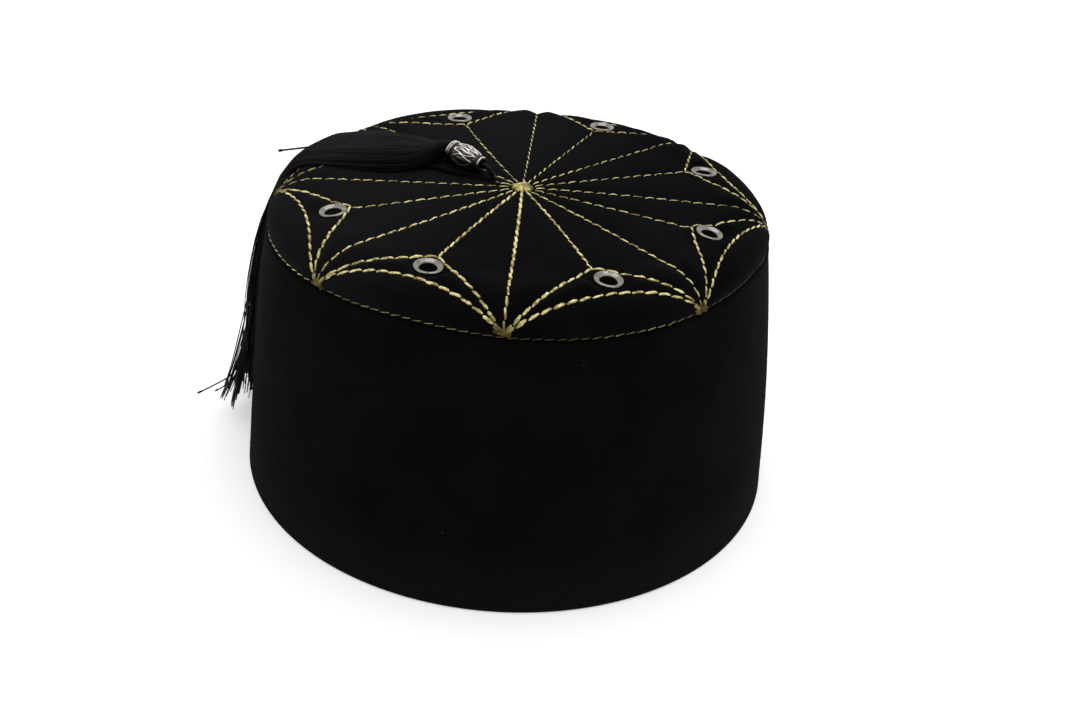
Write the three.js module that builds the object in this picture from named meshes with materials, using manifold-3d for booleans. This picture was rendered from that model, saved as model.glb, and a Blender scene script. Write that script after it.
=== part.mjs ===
// A low velvet fez: a tapered side band, a quilted crown with a star of stitching and eight vent
// eyelets, and a tassel that comes out of the crown, lies across it and hangs down the side.
// Millimetres, +Z up. The origin is on the floor, at the middle of the rim. The front is at -Y.
import * as THREE from "three";
import { mergeVertices } from "three/addons/utils/BufferGeometryUtils.js";
import Module from "manifold-3d";

const wasm = await Module();
wasm.setup();

// Hat: a head of 58 cm inside a wall of velvet on its stiffening
const HEAD_RADIUS = 92;
const WALL = 2.5;
const RIM_RADIUS = HEAD_RADIUS + WALL;
const CROWN_HEIGHT = 103;
const CROWN_THICKNESS = 2.5;
const SEAM_HEIGHT = 92.7;
const SEAM_RADIUS = 83;
const GAP = 0.3;
const HAT_SIDES = 64;

// Outside of the side band, from the rim to the top fold
const EDGE_ROUND = 0.5;
const BAND_SECTIONS = [
  { height: EDGE_ROUND, radius: RIM_RADIUS },
  { height: 34, radius: 91.5 },
  { height: 68, radius: 87.5 },
  { height: 90, radius: 84 },
];
const BAND_ROWS = 6;
const BAND_SAMPLES = 48;
const TOP_ROUND = 0.6;

// Crown: flat in the middle, with a round shoulder down to the seam
const FLAT_RADIUS = 71;
const FLAT_ROWS = [8, 24, 40, 52, 60, 65];
const SHOULDER_ROWS = 6;
const TOP_PUFF = 0.7;
const SHOULDER_PUFF = 1.5;
const PUFF_WIDTH = 4.5;
const SHOULDER_BLEND = 6;
const STITCH_INSET = 1.2;

// Star of stitching on the crown, counter-clockwise from the front. Each row is one sector:
// the azimuth of the spoke that meets the rim, the point where the next spoke forks, and the
// eyelet beside that fork. Azimuths are in degrees from +X.
const STAR = [
  { spoke: -91, fork: -67, forkRadius: 60, eyelet: -65, eyeletRadius: 67.5 },
  { spoke: -46, fork: -21, forkRadius: 59, eyelet: -21, eyeletRadius: 65.5 },
  { spoke: 2, fork: 24, forkRadius: 61, eyelet: 23, eyeletRadius: 68 },
  { spoke: 46, fork: 68, forkRadius: 62, eyelet: 67, eyeletRadius: 68 },
  { spoke: 89, fork: 114, forkRadius: 58, eyelet: 114, eyeletRadius: 66 },
  { spoke: 136, fork: 160, forkRadius: 60, eyelet: 160, eyeletRadius: 66.5 },
  { spoke: 181, fork: 206, forkRadius: 59.5, eyelet: 206, eyeletRadius: 65.5 },
  { spoke: 227, fork: 247, forkRadius: 58, eyelet: 248, eyeletRadius: 66.5 },
];
const PETAL_RADIUS = 74.5;
const PETAL_STEPS = 6;

// Vent eyelet: a rolled flange on the velvet, a barrel, and a turned lip inside
const EYELET_BORE = 2.6;
const EYELET_BARREL = 3.3;
const EYELET_FLANGE = 5;
const EYELET_LIP = 4.2;
const EYELET_SINK = 0.3;
const EYELET_DOME = 1.1;
const EYELET_ROLL = 0.5;
const EYELET_SIDES = 12;

// Tassel bead, lying on the crown with its narrow end towards the middle
const BEAD_START = new THREE.Vector3(-14.5, 6.8, 107.8);
const BEAD_AZIMUTH = 145;
const BEAD_TILT = 3.5;
const BEAD_LENGTH = 13.5;
const BEAD_BORE = 1.5;
const BEAD_CUP = 3.2;
const BEAD_CUP_DEPTH = 3.5;
const BEAD_SECTIONS = [
  { along: 0, radius: 2.5 },
  { along: 0.5, radius: 3 },
  { along: 1.2, radius: 2.6 },
  { along: 3, radius: 3.5 },
  { along: 5, radius: 4.1 },
  { along: 7.2, radius: 4.3 },
  { along: 9.4, radius: 4.1 },
  { along: 11.4, radius: 3.6 },
  { along: 12.5, radius: 4.1 },
  { along: BEAD_LENGTH, radius: 3.9 },
];
const BEAD_SIDES = 24;
const BEAD_SCROLLS = 6;
const SCROLL_RAISE = 0.25;

// Tassel cord: knotted under the crown, up through it, round and into the bead
const CORD_RADIUS = 1.1;
const CORD_BEND = 4.6;
const CORD_LEAD = 0.6;
const CORD_SIDES = 8;
const CORD_STEPS = 16;
const KNOT_RADIUS = 2.6;

// Tassel locks: azimuths where each crosses the crown, the shoulder and its own end, the height
// of its end above the floor, and how far that end stands away from the band
const LOCKS = [
  { crown: 137, shoulder: 145, end: 146, tip: 9, flare: 2 },
  { crown: 142, shoulder: 150, end: 150, tip: 5, flare: 3 },
  { crown: 147, shoulder: 155, end: 155, tip: 4, flare: 3.5 },
  { crown: 152, shoulder: 160, end: 160, tip: 6, flare: 4 },
  { crown: 157, shoulder: 165, end: 166, tip: 3, flare: 5 },
  { crown: 162, shoulder: 170, end: 172, tip: 3, flare: 6 },
  { crown: 166, shoulder: 175, end: 178, tip: 4, flare: 7 },
];

// Sections of a lock, at shares of its length: round in the bead, flat on the shoulder
const LOCK_SECTIONS = [
  { share: 0, halfWidth: 1.6, halfDepth: 1.6 },
  { share: 0.25, halfWidth: 3.8, halfDepth: 1.2 },
  { share: 0.45, halfWidth: 4.4, halfDepth: 0.8 },
  { share: 0.65, halfWidth: 4.4, halfDepth: 1.9 },
  { share: 0.9, halfWidth: 3.8, halfDepth: 1.4 },
  { share: 1, halfWidth: 2.2, halfDepth: 0.7 },
];
const LOCK_SIDES = 6;
const LOCK_STEPS = 18;
const LOCK_STAND = 1.1;
const LOCK_FALL = [
  { height: 72, away: 2, flare: 0 },
  { height: 45, away: 1.4, flare: 0.4 },
];
const LOCK_START = 2;
const FAN_RADIUS = 48;

const MATERIALS = {
  velvet: new THREE.MeshStandardMaterial({ color: 0x08080b, roughness: 0.95, metalness: 0 }),
  thread: new THREE.MeshStandardMaterial({ color: 0x0a0a0d, roughness: 0.6, metalness: 0 }),
  nickel: new THREE.MeshStandardMaterial({ color: 0x9b968f, roughness: 0.35, metalness: 1 }),
  silver: new THREE.MeshStandardMaterial({ color: 0xa8a39a, roughness: 0.4, metalness: 1 }),
};

const radians = THREE.MathUtils.degToRad;

function polar(radius, azimuth, height) {
  const angle = radians(azimuth);
  return new THREE.Vector3(radius * Math.cos(angle), radius * Math.sin(angle), height);
}

// Turned form about Z, from a profile of (radius, height) points that runs up its outside
function turned(profile, sides) {
  return new THREE.LatheGeometry(profile, sides).rotateX(Math.PI / 2);
}

function named(name, geometry, material) {
  const mesh = new THREE.Mesh(geometry, material);
  mesh.name = name;
  return mesh;
}

// Closed geometry to a solid that can be joined and cut
function solidOf(geometry) {
  geometry.deleteAttribute("normal");
  geometry.deleteAttribute("uv");
  const merged = mergeVertices(geometry);
  return new wasm.Manifold(new wasm.Mesh({
    numProp: 3,
    vertProperties: merged.attributes.position.array,
    triVerts: Uint32Array.from(merged.index.array),
  }));
}

function geometryOf(solid) {
  const mesh = solid.getMesh();
  const geometry = new THREE.BufferGeometry();
  geometry.setAttribute("position", new THREE.BufferAttribute(mesh.vertProperties, 3));
  geometry.setIndex(new THREE.BufferAttribute(mesh.triVerts, 1));
  geometry.computeVertexNormals();
  return geometry;
}

// Side band

const bandOutline = new THREE.SplineCurve(
  BAND_SECTIONS.map(({ radius, height }) => new THREE.Vector2(radius, height)),
);

function bandRadius(height) {
  const points = bandOutline.getPoints(BAND_SAMPLES);
  const above = points.findIndex((point) => point.y >= height);
  if (above <= 0) {
    return above < 0 ? points.at(-1).x : RIM_RADIUS;
  }
  const [low, high] = [points[above - 1], points[above]];
  return THREE.MathUtils.mapLinear(height, low.y, high.y, low.x, high.x);
}

function sideBand() {
  const outside = bandOutline.getPoints(BAND_ROWS);
  const inside = bandOutline.getPoints(BAND_ROWS / 2).reverse();
  const topFold = [
    new THREE.Vector2(SEAM_RADIUS + TOP_ROUND, SEAM_HEIGHT - TOP_ROUND),
    new THREE.Vector2(SEAM_RADIUS - TOP_ROUND, SEAM_HEIGHT),
    new THREE.Vector2(SEAM_RADIUS - WALL + TOP_ROUND, SEAM_HEIGHT),
  ];
  const profile = [
    new THREE.Vector2(RIM_RADIUS - EDGE_ROUND, 0),
    ...outside,
    ...topFold,
    ...inside.map((point) => new THREE.Vector2(point.x - WALL, point.y)),
    new THREE.Vector2(RIM_RADIUS - WALL + EDGE_ROUND, 0),
  ];
  return turned([...profile, profile[0]], HAT_SIDES);
}

// Crown panel

const CROWN_EDGE = SEAM_HEIGHT + GAP;
const SHOULDER_REACH = SEAM_RADIUS - FLAT_RADIUS;
const SHOULDER_DROP = CROWN_HEIGHT - CROWN_EDGE;
const shoulder = new THREE.EllipseCurve(
  FLAT_RADIUS, CROWN_EDGE, SHOULDER_REACH, SHOULDER_DROP, 0, Math.PI / 2,
);
const EDGE_REACH = FLAT_RADIUS + shoulder.getLength();
const RIM_REACH = EDGE_REACH - STITCH_INSET;

// The star is drawn flat: a point's distance from the middle is measured along the crown's surface
function flatPoint(reach, azimuth) {
  return polar(reach, azimuth, 0);
}

function starLines() {
  const middle = new THREE.Vector3();
  const lines = [];
  STAR.forEach((sector, index) => {
    const next = STAR[(index + 1) % STAR.length];
    const here = flatPoint(RIM_REACH, sector.spoke);
    const there = flatPoint(RIM_REACH, next.spoke);
    const fork = flatPoint(sector.forkRadius, sector.fork);
    const bow = flatPoint(PETAL_RADIUS, sector.fork).multiplyScalar(2);
    const control = bow.addScaledVector(here, -0.5).addScaledVector(there, -0.5);
    const petal = new THREE.QuadraticBezierCurve3(here, control, there).getPoints(PETAL_STEPS);
    lines.push(new THREE.Line3(middle, here), new THREE.Line3(middle, fork));
    lines.push(new THREE.Line3(fork, here), new THREE.Line3(fork, there));
    for (let step = 0; step < PETAL_STEPS; step += 1) {
      lines.push(new THREE.Line3(petal[step], petal[step + 1]));
    }
  });
  return lines;
}

const stitchLines = starLines();

// Height of the wadding over the backing: nothing on a stitched line, full between lines
function puff(reach, azimuth) {
  const point = flatPoint(reach, azimuth);
  const nearest = new THREE.Vector3();
  const toLines = stitchLines.map((line) => {
    line.closestPointToPoint(point, true, nearest);
    return nearest.distanceTo(point);
  });
  const distance = Math.min(Math.abs(RIM_REACH - reach), ...toLines);
  const [start, end] = [FLAT_RADIUS - SHOULDER_BLEND, FLAT_RADIUS + SHOULDER_BLEND];
  const onShoulder = THREE.MathUtils.smoothstep(reach, start, end);
  const full = THREE.MathUtils.lerp(TOP_PUFF, SHOULDER_PUFF, onShoulder);
  return full * (1 - Math.exp(-distance / PUFF_WIDTH));
}

// Columns of the crown follow the sixteen spokes, with even steps between two neighbours
function spokeAzimuth(column) {
  const spokes = STAR.flatMap(({ spoke, fork }) => [spoke, fork]);
  spokes.push(spokes[0] + 360);
  const place = (column % HAT_SIDES) * (spokes.length - 1) / HAT_SIDES;
  const index = Math.floor(place);
  return THREE.MathUtils.lerp(spokes[index], spokes[index + 1], place - index);
}

// A column of points up the crown: the backing from the middle to the edge, then the velvet from
// the edge to the middle, each with its reach along the surface and the direction it puffs in
function crownColumn() {
  const innerShoulder = new THREE.EllipseCurve(
    FLAT_RADIUS, CROWN_EDGE, SHOULDER_REACH - CROWN_THICKNESS, SHOULDER_DROP - CROWN_THICKNESS,
    Math.PI / 2, 0, true,
  );
  const backing = innerShoulder.getPoints(SHOULDER_ROWS - 2);
  const velvet = shoulder.getPoints(SHOULDER_ROWS);
  const plain = (point) => ({ point, reach: 0, outward: new THREE.Vector2() });
  const soft = (point, index) => {
    const share = index / SHOULDER_ROWS;
    const outward = new THREE.Vector2(
      (point.x - FLAT_RADIUS) / SHOULDER_REACH ** 2, (point.y - CROWN_EDGE) / SHOULDER_DROP ** 2,
    ).normalize();
    return { point, reach: THREE.MathUtils.lerp(EDGE_REACH, FLAT_RADIUS, share), outward };
  };
  const flat = FLAT_ROWS.toReversed().map((radius) => ({
    point: new THREE.Vector2(radius, CROWN_HEIGHT),
    reach: radius,
    outward: new THREE.Vector2(0, 1),
  }));
  return [
    plain(new THREE.Vector2(0, CROWN_HEIGHT - CROWN_THICKNESS)),
    ...backing.map(plain),
    plain(velvet[0]),
    ...velvet.slice(1).map((point, index) => soft(point, index + 1)),
    ...flat,
    plain(new THREE.Vector2(0, CROWN_HEIGHT)),
  ];
}

function quiltedCrown() {
  const column = crownColumn();
  const geometry = turned(column.map(({ point }) => point), HAT_SIDES);
  const position = geometry.attributes.position;
  for (let vertex = 0; vertex < position.count; vertex += 1) {
    const { point, reach, outward } = column[vertex % column.length];
    const azimuth = spokeAzimuth(Math.floor(vertex / column.length));
    const rise = reach > 0 ? puff(reach, azimuth) : 0;
    const place = polar(point.x + rise * outward.x, azimuth, point.y + rise * outward.y);
    position.setXYZ(vertex, place.x, place.y, place.z);
  }
  return geometry;
}

function drill(radius, bottom, top, x, y) {
  const bore = new THREE.CylinderGeometry(radius, radius, top - bottom, 2 * EYELET_SIDES);
  return solidOf(bore.rotateX(Math.PI / 2).translate(x, y, (bottom + top) / 2));
}

const eyeletSeat = CROWN_HEIGHT - EYELET_SINK;
const eyeletPlace = ({ eyelet, eyeletRadius }) => polar(eyeletRadius, eyelet, eyeletSeat + GAP);

function crownPanel() {
  const below = CROWN_HEIGHT - 2 * CROWN_THICKNESS;
  const above = CROWN_HEIGHT + 2 * CROWN_THICKNESS;
  let crown = solidOf(quiltedCrown());
  STAR.forEach((sector) => {
    const { x, y } = eyeletPlace(sector);
    crown = crown.subtract(drill(EYELET_BARREL + GAP, below, above, x, y));
    crown = crown.subtract(drill(EYELET_FLANGE + GAP, eyeletSeat, above, x, y));
  });
  const hole = cordExit();
  crown = crown.subtract(drill(CORD_RADIUS + GAP, below, above, hole.x, hole.y));
  return geometryOf(crown);
}

// Eyelet, with its height measured from the underside of the flange
function eyeletRing() {
  const barrelEnd = -(CROWN_THICKNESS - EYELET_SINK + 2 * GAP);
  const outline = [
    [EYELET_BORE, barrelEnd - EYELET_ROLL],
    [EYELET_BARREL, barrelEnd - 2 * EYELET_ROLL],
    [EYELET_LIP, barrelEnd - EYELET_ROLL],
    [EYELET_LIP, barrelEnd],
    [EYELET_BARREL, barrelEnd],
    [EYELET_BARREL, 0],
    [EYELET_FLANGE, 0],
    [EYELET_FLANGE - EYELET_ROLL, EYELET_DOME - EYELET_ROLL],
    [EYELET_BARREL + EYELET_ROLL, EYELET_DOME],
    [EYELET_BORE, EYELET_DOME - EYELET_ROLL],
    [EYELET_BORE, barrelEnd - EYELET_ROLL],
  ];
  return turned(outline.map(([radius, height]) => new THREE.Vector2(radius, height)), EYELET_SIDES);
}

// Tassel

const beadAxis = polar(Math.cos(radians(BEAD_TILT)), BEAD_AZIMUTH, Math.sin(radians(BEAD_TILT)));
const beadPoint = (along) => BEAD_START.clone().addScaledVector(beadAxis, along);
const beadHeading = polar(1, BEAD_AZIMUTH, 0);

// Barrel with raised scrolls round its belly, a bore for the cord and a cup for the strands
function beadBarrel() {
  const outside = BEAD_SECTIONS.map(({ along, radius }) => new THREE.Vector2(radius, along));
  const cupFloor = BEAD_LENGTH - BEAD_CUP_DEPTH;
  const inside = [
    new THREE.Vector2(BEAD_CUP, BEAD_LENGTH),
    new THREE.Vector2(BEAD_CUP, cupFloor),
    new THREE.Vector2(BEAD_BORE, cupFloor),
    new THREE.Vector2(BEAD_BORE, 0),
  ];
  const geometry = turned([...outside, ...inside, outside[0]], BEAD_SIDES);
  const rings = outside.length + inside.length + 1;
  const position = geometry.attributes.position;
  for (let vertex = 0; vertex < position.count; vertex += 1) {
    const ring = vertex % rings;
    const onBelly = ring > 2 && ring < outside.length - 3;
    if (onBelly) {
      const side = Math.floor(vertex / rings) % BEAD_SIDES;
      const turn = Math.cos(2 * Math.PI * (BEAD_SCROLLS * side / BEAD_SIDES + ring / 2));
      const swell = 1 + SCROLL_RAISE * turn / BEAD_SECTIONS[ring].radius;
      position.setXY(vertex, position.getX(vertex) * swell, position.getY(vertex) * swell);
    }
  }
  return geometry;
}

// The cord leaves the crown straight up and turns a quarter circle into the bead
function cordExit() {
  return BEAD_START.clone().addScaledVector(beadHeading, -CORD_BEND - CORD_LEAD);
}

function cordPath() {
  const exit = cordExit();
  const turnStart = BEAD_START.z - CORD_BEND;
  const bend = [0.25, 0.5, 0.75].map((share) => {
    const angle = share * Math.PI / 2;
    const ahead = CORD_BEND * (1 - Math.cos(angle));
    const rise = turnStart + CORD_BEND * Math.sin(angle);
    return exit.clone().addScaledVector(beadHeading, ahead).setZ(rise);
  });
  const knotHeight = CROWN_HEIGHT - CROWN_THICKNESS - GAP - KNOT_RADIUS;
  return new THREE.CatmullRomCurve3([
    exit.clone().setZ(knotHeight),
    exit.clone().setZ((knotHeight + turnStart) / 2),
    exit.clone().setZ(turnStart),
    ...bend,
    beadPoint(CORD_LEAD),
    beadPoint(BEAD_LENGTH / 3),
    beadPoint(BEAD_LENGTH - BEAD_CUP_DEPTH - GAP),
  ]);
}

function tasselCord() {
  const section = new THREE.Shape();
  for (let side = 0; side < CORD_SIDES; side += 1) {
    const angle = 2 * Math.PI * side / CORD_SIDES;
    const corner = [CORD_RADIUS * Math.cos(angle), CORD_RADIUS * Math.sin(angle)];
    side === 0 ? section.moveTo(...corner) : section.lineTo(...corner);
  }
  const path = cordPath();
  const cord = new THREE.ExtrudeGeometry(section, { steps: CORD_STEPS, extrudePath: path });
  const knot = new THREE.SphereGeometry(KNOT_RADIUS, 10, 6).translate(...path.getPoint(0));
  return geometryOf(solidOf(cord).add(solidOf(knot)));
}

// A lock's middle line: out of the bead, fanned over the crown, round the shoulder and down
function lockPath({ crown, shoulder: over, end, tip, flare }) {
  const lift = SHOULDER_PUFF + LOCK_STAND;
  const roundShoulder = [15, 40, 65, 90].map((turn) => polar(
    FLAT_RADIUS + (SHOULDER_REACH + lift) * Math.sin(radians(turn)),
    over,
    CROWN_EDGE + (SHOULDER_DROP + lift) * Math.cos(radians(turn)),
  ));
  const onBand = (height, away) => {
    const radius = bandRadius(height) + LOCK_STAND + away;
    return polar(radius, THREE.MathUtils.mapLinear(height, CROWN_EDGE, tip, over, end), height);
  };
  return new THREE.CatmullRomCurve3([
    beadPoint(BEAD_LENGTH - BEAD_CUP_DEPTH + 2 * GAP),
    beadPoint(BEAD_LENGTH + LOCK_START),
    polar(FAN_RADIUS, crown, CROWN_HEIGHT + lift + GAP),
    ...roundShoulder,
    ...LOCK_FALL.map((fall) => onBand(fall.height, fall.away + fall.flare * flare)),
    onBand(tip, flare),
  ]);
}

function lockSize(share) {
  const after = Math.max(1, LOCK_SECTIONS.findIndex((section) => section.share >= share));
  const [from, to] = [LOCK_SECTIONS[after - 1], LOCK_SECTIONS[after]];
  const between = (key) => {
    return THREE.MathUtils.mapLinear(share, from.share, to.share, from[key], to[key]);
  };
  return { halfWidth: between("halfWidth"), halfDepth: between("halfDepth") };
}

function tasselLock(row) {
  const path = lockPath(row);
  const hatMiddle = new THREE.Vector3(0, 0, CROWN_HEIGHT / 2);
  const geometry = new THREE.CylinderGeometry(1, 1, 1, LOCK_SIDES, LOCK_STEPS);
  const position = geometry.attributes.position;
  const corner = new THREE.Vector3();
  for (let vertex = 0; vertex < position.count; vertex += 1) {
    corner.fromBufferAttribute(position, vertex);
    const share = THREE.MathUtils.clamp(corner.y + 0.5, 0, 1);
    const middle = path.getPointAt(share);
    const along = path.getTangentAt(share);
    const outward = middle.clone().sub(hatMiddle);
    outward.addScaledVector(along, -outward.dot(along)).normalize();
    const across = along.clone().cross(outward);
    const { halfWidth, halfDepth } = lockSize(share);
    middle.addScaledVector(across, corner.x * halfWidth);
    middle.addScaledVector(outward, corner.z * halfDepth);
    position.setXYZ(vertex, middle.x, middle.y, middle.z);
  }
  return solidOf(geometry);
}

function tasselStrands() {
  const length = BEAD_CUP_DEPTH + LOCK_START;
  const head = new THREE.CylinderGeometry(BEAD_CUP - GAP, BEAD_CUP - GAP, length, 12);
  const middle = beadPoint(BEAD_LENGTH - BEAD_CUP_DEPTH + GAP + length / 2);
  const turn = new THREE.Quaternion().setFromUnitVectors(new THREE.Vector3(0, 1, 0), beadAxis);
  head.applyQuaternion(turn).translate(...middle);
  return geometryOf(LOCKS.reduce((tassel, row) => tassel.add(tasselLock(row)), solidOf(head)));
}

// Assembly

const fez = new THREE.Group();
fez.add(named("side_band", sideBand(), MATERIALS.velvet));
fez.add(named("crown_panel", crownPanel(), MATERIALS.velvet));

STAR.forEach((sector, index) => {
  const eyelet = named(`eyelet_${index + 1}`, eyeletRing(), MATERIALS.nickel);
  eyelet.position.copy(eyeletPlace(sector));
  fez.add(eyelet);
});

const bead = named("tassel_bead", beadBarrel(), MATERIALS.silver);
bead.position.copy(BEAD_START);
bead.quaternion.setFromUnitVectors(new THREE.Vector3(0, 0, 1), beadAxis);
fez.add(bead);
fez.add(named("tassel_cord", tasselCord(), MATERIALS.thread));
fez.add(named("tassel_strands", tasselStrands(), MATERIALS.thread));

export default fez;
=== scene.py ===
# %% [markdown]
# # A velvet fez with a stitched star
# The solids of the hat are already built and packed, to real size. This notebook dresses them:
# each piece gets a fine surface worked out with numpy, and each finish is a small tree of nodes.
# The solids stay as the frame, so every new piece goes where its solid is.

# %% Load the frame
import math

import bpy
import numpy as np
from mathutils import Matrix, Vector


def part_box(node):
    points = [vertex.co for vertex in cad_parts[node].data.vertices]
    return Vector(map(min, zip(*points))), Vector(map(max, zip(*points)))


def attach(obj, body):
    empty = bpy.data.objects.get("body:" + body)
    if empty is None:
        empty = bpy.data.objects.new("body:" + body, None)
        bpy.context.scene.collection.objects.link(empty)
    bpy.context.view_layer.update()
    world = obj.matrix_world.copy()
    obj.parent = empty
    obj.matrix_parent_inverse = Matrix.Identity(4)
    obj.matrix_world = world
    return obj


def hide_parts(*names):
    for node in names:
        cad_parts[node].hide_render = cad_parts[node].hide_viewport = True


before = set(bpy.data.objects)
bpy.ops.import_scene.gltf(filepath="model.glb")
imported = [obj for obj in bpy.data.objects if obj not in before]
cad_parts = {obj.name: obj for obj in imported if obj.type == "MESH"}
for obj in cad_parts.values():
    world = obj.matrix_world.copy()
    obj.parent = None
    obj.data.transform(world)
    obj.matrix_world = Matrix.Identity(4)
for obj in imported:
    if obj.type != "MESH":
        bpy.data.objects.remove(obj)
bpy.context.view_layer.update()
MM = 0.001
print("solids:", ", ".join(sorted(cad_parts)))

# %% [markdown]
# ## Camera
# A photograph is matched by four things: where the camera stands, how far it looks down, how it
# leans to one side, and its lens. Blender's camera looks along its own -Z with +Y up, so two
# turns bring it round: one about X to look down at the hat, and one about its own Z for the lean.

# %% Camera at the photograph's angle
CAMERA_PLACE = Vector((10.136, -405.756, 281.878)) * MM
LOOKS_DOWN = math.radians(31.124)
LEANS = math.radians(4.451)
LENS_MM = 43.69
SENSOR_MM = 36.0


def add_object(name, data):
    """A new object in the scene, at the origin, for a mesh, a lamp or a camera."""
    made = bpy.data.objects.new(name, data)
    bpy.context.collection.objects.link(made)
    return made


camera_data = bpy.data.cameras.new("camera")
camera_data.lens = LENS_MM
camera_data.sensor_width = SENSOR_MM
camera = add_object("camera", camera_data)
look = Matrix.Rotation(math.pi / 2 - LOOKS_DOWN, 4, "X") @ Matrix.Rotation(LEANS, 4, "Z")
camera.matrix_world = Matrix.Translation(CAMERA_PLACE) @ look
bpy.context.scene.camera = camera
print("camera stands", round(CAMERA_PLACE.length / MM), "mm from the middle of the rim")

# %% [markdown]
# ## Surfaces from arrays
# Every piece below is a grid of points: rows run along a profile or a path, and columns run round
# it. A grid could be made with Blender's own primitives and sculpted, but as arrays the shape is
# one formula, and a change of size is a change of one number. Faces join neighbouring points, and
# they point outwards when rows go up the outside and columns go counter-clockwise.

# %% Helpers for grids
UPWARDS = np.array((0.0, 0, 1))


def once_round(count):
    """Evenly shared angles of a ring of columns, in radians."""
    return np.linspace(0, 2 * np.pi, count, endpoint=False)


def grid_faces(rows, columns, close_rows=False):
    """Corner numbers of the quads between neighbours in a grid whose columns close into rings."""
    here = np.arange(rows * columns).reshape(rows, columns)
    beside, above = np.roll(here, -1, axis=1), np.roll(here, -1, axis=0)
    corners = np.stack([here, beside, np.roll(above, -1, axis=1), above], axis=-1)
    return corners[:rows if close_rows else rows - 1].reshape(-1, 4)


def end_faces(rows, columns):
    """The two many-sided faces that close a grid's first and last row."""
    ring = np.arange(columns)[None]
    return [ring[:, ::-1], ring + (rows - 1) * columns]


def make_piece(name, points, faces, slot, replaces=()):
    """A smooth mesh object from points and from arrays of faces, one array for each corner count."""
    corners = np.concatenate([part.ravel() for part in faces])
    counts = np.concatenate([np.full(len(part), part.shape[1]) for part in faces])
    mesh = bpy.data.meshes.new(name)
    mesh.vertices.add(len(points))
    mesh.vertices.foreach_set("co", np.ascontiguousarray(points, np.float32).ravel())
    mesh.loops.add(len(corners))
    mesh.loops.foreach_set("vertex_index", corners.astype(np.int32))
    mesh.polygons.add(len(counts))
    mesh.polygons.foreach_set("loop_start", (np.cumsum(counts) - counts).astype(np.int32))
    mesh.polygons.foreach_set("use_smooth", np.ones(len(counts), bool))
    mesh.update(calc_edges=True)
    mesh.validate()
    made = add_object(name, mesh)
    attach(made, "root")
    if replaces:
        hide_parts(*replaces)
    print(name, "has", int((counts - 2).sum()), "triangles")
    return made


def keep(made, name, values):
    """Store a value for each point of a piece as an attribute, for its finish to read."""
    made.data.attributes.new(name, "FLOAT", "POINT").data.foreach_set(
        "value", np.ascontiguousarray(values, np.float32).ravel())


def unit(vectors):
    """Vectors of length one, along the last axis."""
    return vectors / np.maximum(np.linalg.norm(vectors, axis=-1, keepdims=True), 1e-12)


def round_points(radius, azimuth, height):
    """Points at a radius, an azimuth in radians and a height, as one array."""
    return np.stack(np.broadcast_arrays(
        radius * np.cos(azimuth), radius * np.sin(azimuth), height), axis=-1)


def tubes(paths, radii, sides, outward):
    """Points and faces of closed tubes. paths is (tubes, steps, 3), radii fits (tubes, steps,
    sides), and outward is a direction beside the path that keeps its rings from turning. A point
    of a ring is the path's point plus radius times (cos angle across + sin angle outward)."""
    count, steps, _ = paths.shape
    along = unit(np.gradient(paths, axis=1))
    across = unit(np.cross(along, outward))
    out = np.cross(across, along)
    angle = once_round(sides)[:, None]
    ring = across[:, :, None] * np.cos(angle) + out[:, :, None] * np.sin(angle)
    points = paths[:, :, None] + np.broadcast_to(radii, (count, steps, sides))[..., None] * ring
    first = np.arange(count)[:, None, None] * steps * sides
    faces = [(part[None] + first).reshape(-1, part.shape[1])
             for part in [grid_faces(steps, sides)] + end_faces(steps, sides)]
    return points.reshape(-1, 3), faces


def smooth_step(value, low, high):
    """Zero below low, one above high, and 3t^2 - 2t^3 between them."""
    t = np.clip((value - low) / (high - low), 0, 1)
    return t * t * (3 - 2 * t)


def smooth_path(controls, steps):
    """Points evenly shared along Catmull-Rom curves through control points (..., controls, axes):
    each is a cubic that leaves a control point along the line between its two neighbours."""
    first = 2 * controls[..., :1, :] - controls[..., 1:2, :]
    last = 2 * controls[..., -1:, :] - controls[..., -2:-1, :]
    padded = np.concatenate([first, controls, last], axis=-2)
    place = np.linspace(0, controls.shape[-2] - 1, steps)
    index = np.minimum(place.astype(int), controls.shape[-2] - 2)
    t = (place - index)[:, None]
    before, here, there, after = (padded[..., index + shift, :] for shift in range(4))
    return 0.5 * (2 * here + (there - before) * t
                  + (2 * before - 5 * here + 4 * there - after) * t ** 2
                  + (3 * here - before - 3 * there + after) * t ** 3)


# %% [markdown]
# ## Sizes from the frame
# The band's rim, its top, the crown's edge and the eyelets' places are read from the solids'
# boxes. The band's outside is a cubic curve through four measured radii, and the crown is flat in
# the middle with a quarter ellipse for its shoulder. A place on the crown is given by its reach,
# the distance from the middle along the surface, because that is how a maker draws the star:
# flat, on the panel.

# %% The hat's outline
RIM_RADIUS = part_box("side_band")[1][0]
BAND_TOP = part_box("side_band")[1][2]
CROWN_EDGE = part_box("crown_panel")[0][2]
EYELETS = [f"eyelet_{number}" for number in range(1, 9)]
eyelet_places = np.array([np.mean(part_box(name), axis=0)[:2] for name in EYELETS])
WALL = 2.5 * MM
CROWN_THICKNESS = 2.5 * MM
CROWN_HEIGHT = 103 * MM
SEAM_RADIUS = 83 * MM
FLAT_RADIUS = 67 * MM
SHOULDER_REACH = SEAM_RADIUS - FLAT_RADIUS
SHOULDER_DROP = CROWN_HEIGHT - CROWN_EDGE
BAND_HEIGHTS = np.array([0.5, 34, 68, 90]) * MM
BAND_RADII = np.array([RIM_RADIUS / MM, 91.5, 87.5, 84]) * MM
band_cubic = np.polyfit(BAND_HEIGHTS, BAND_RADII, 3)


def band_radius(height):
    """Outside radius of the band at a height: the cubic through the four measured radii."""
    return np.polyval(band_cubic, height)


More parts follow.
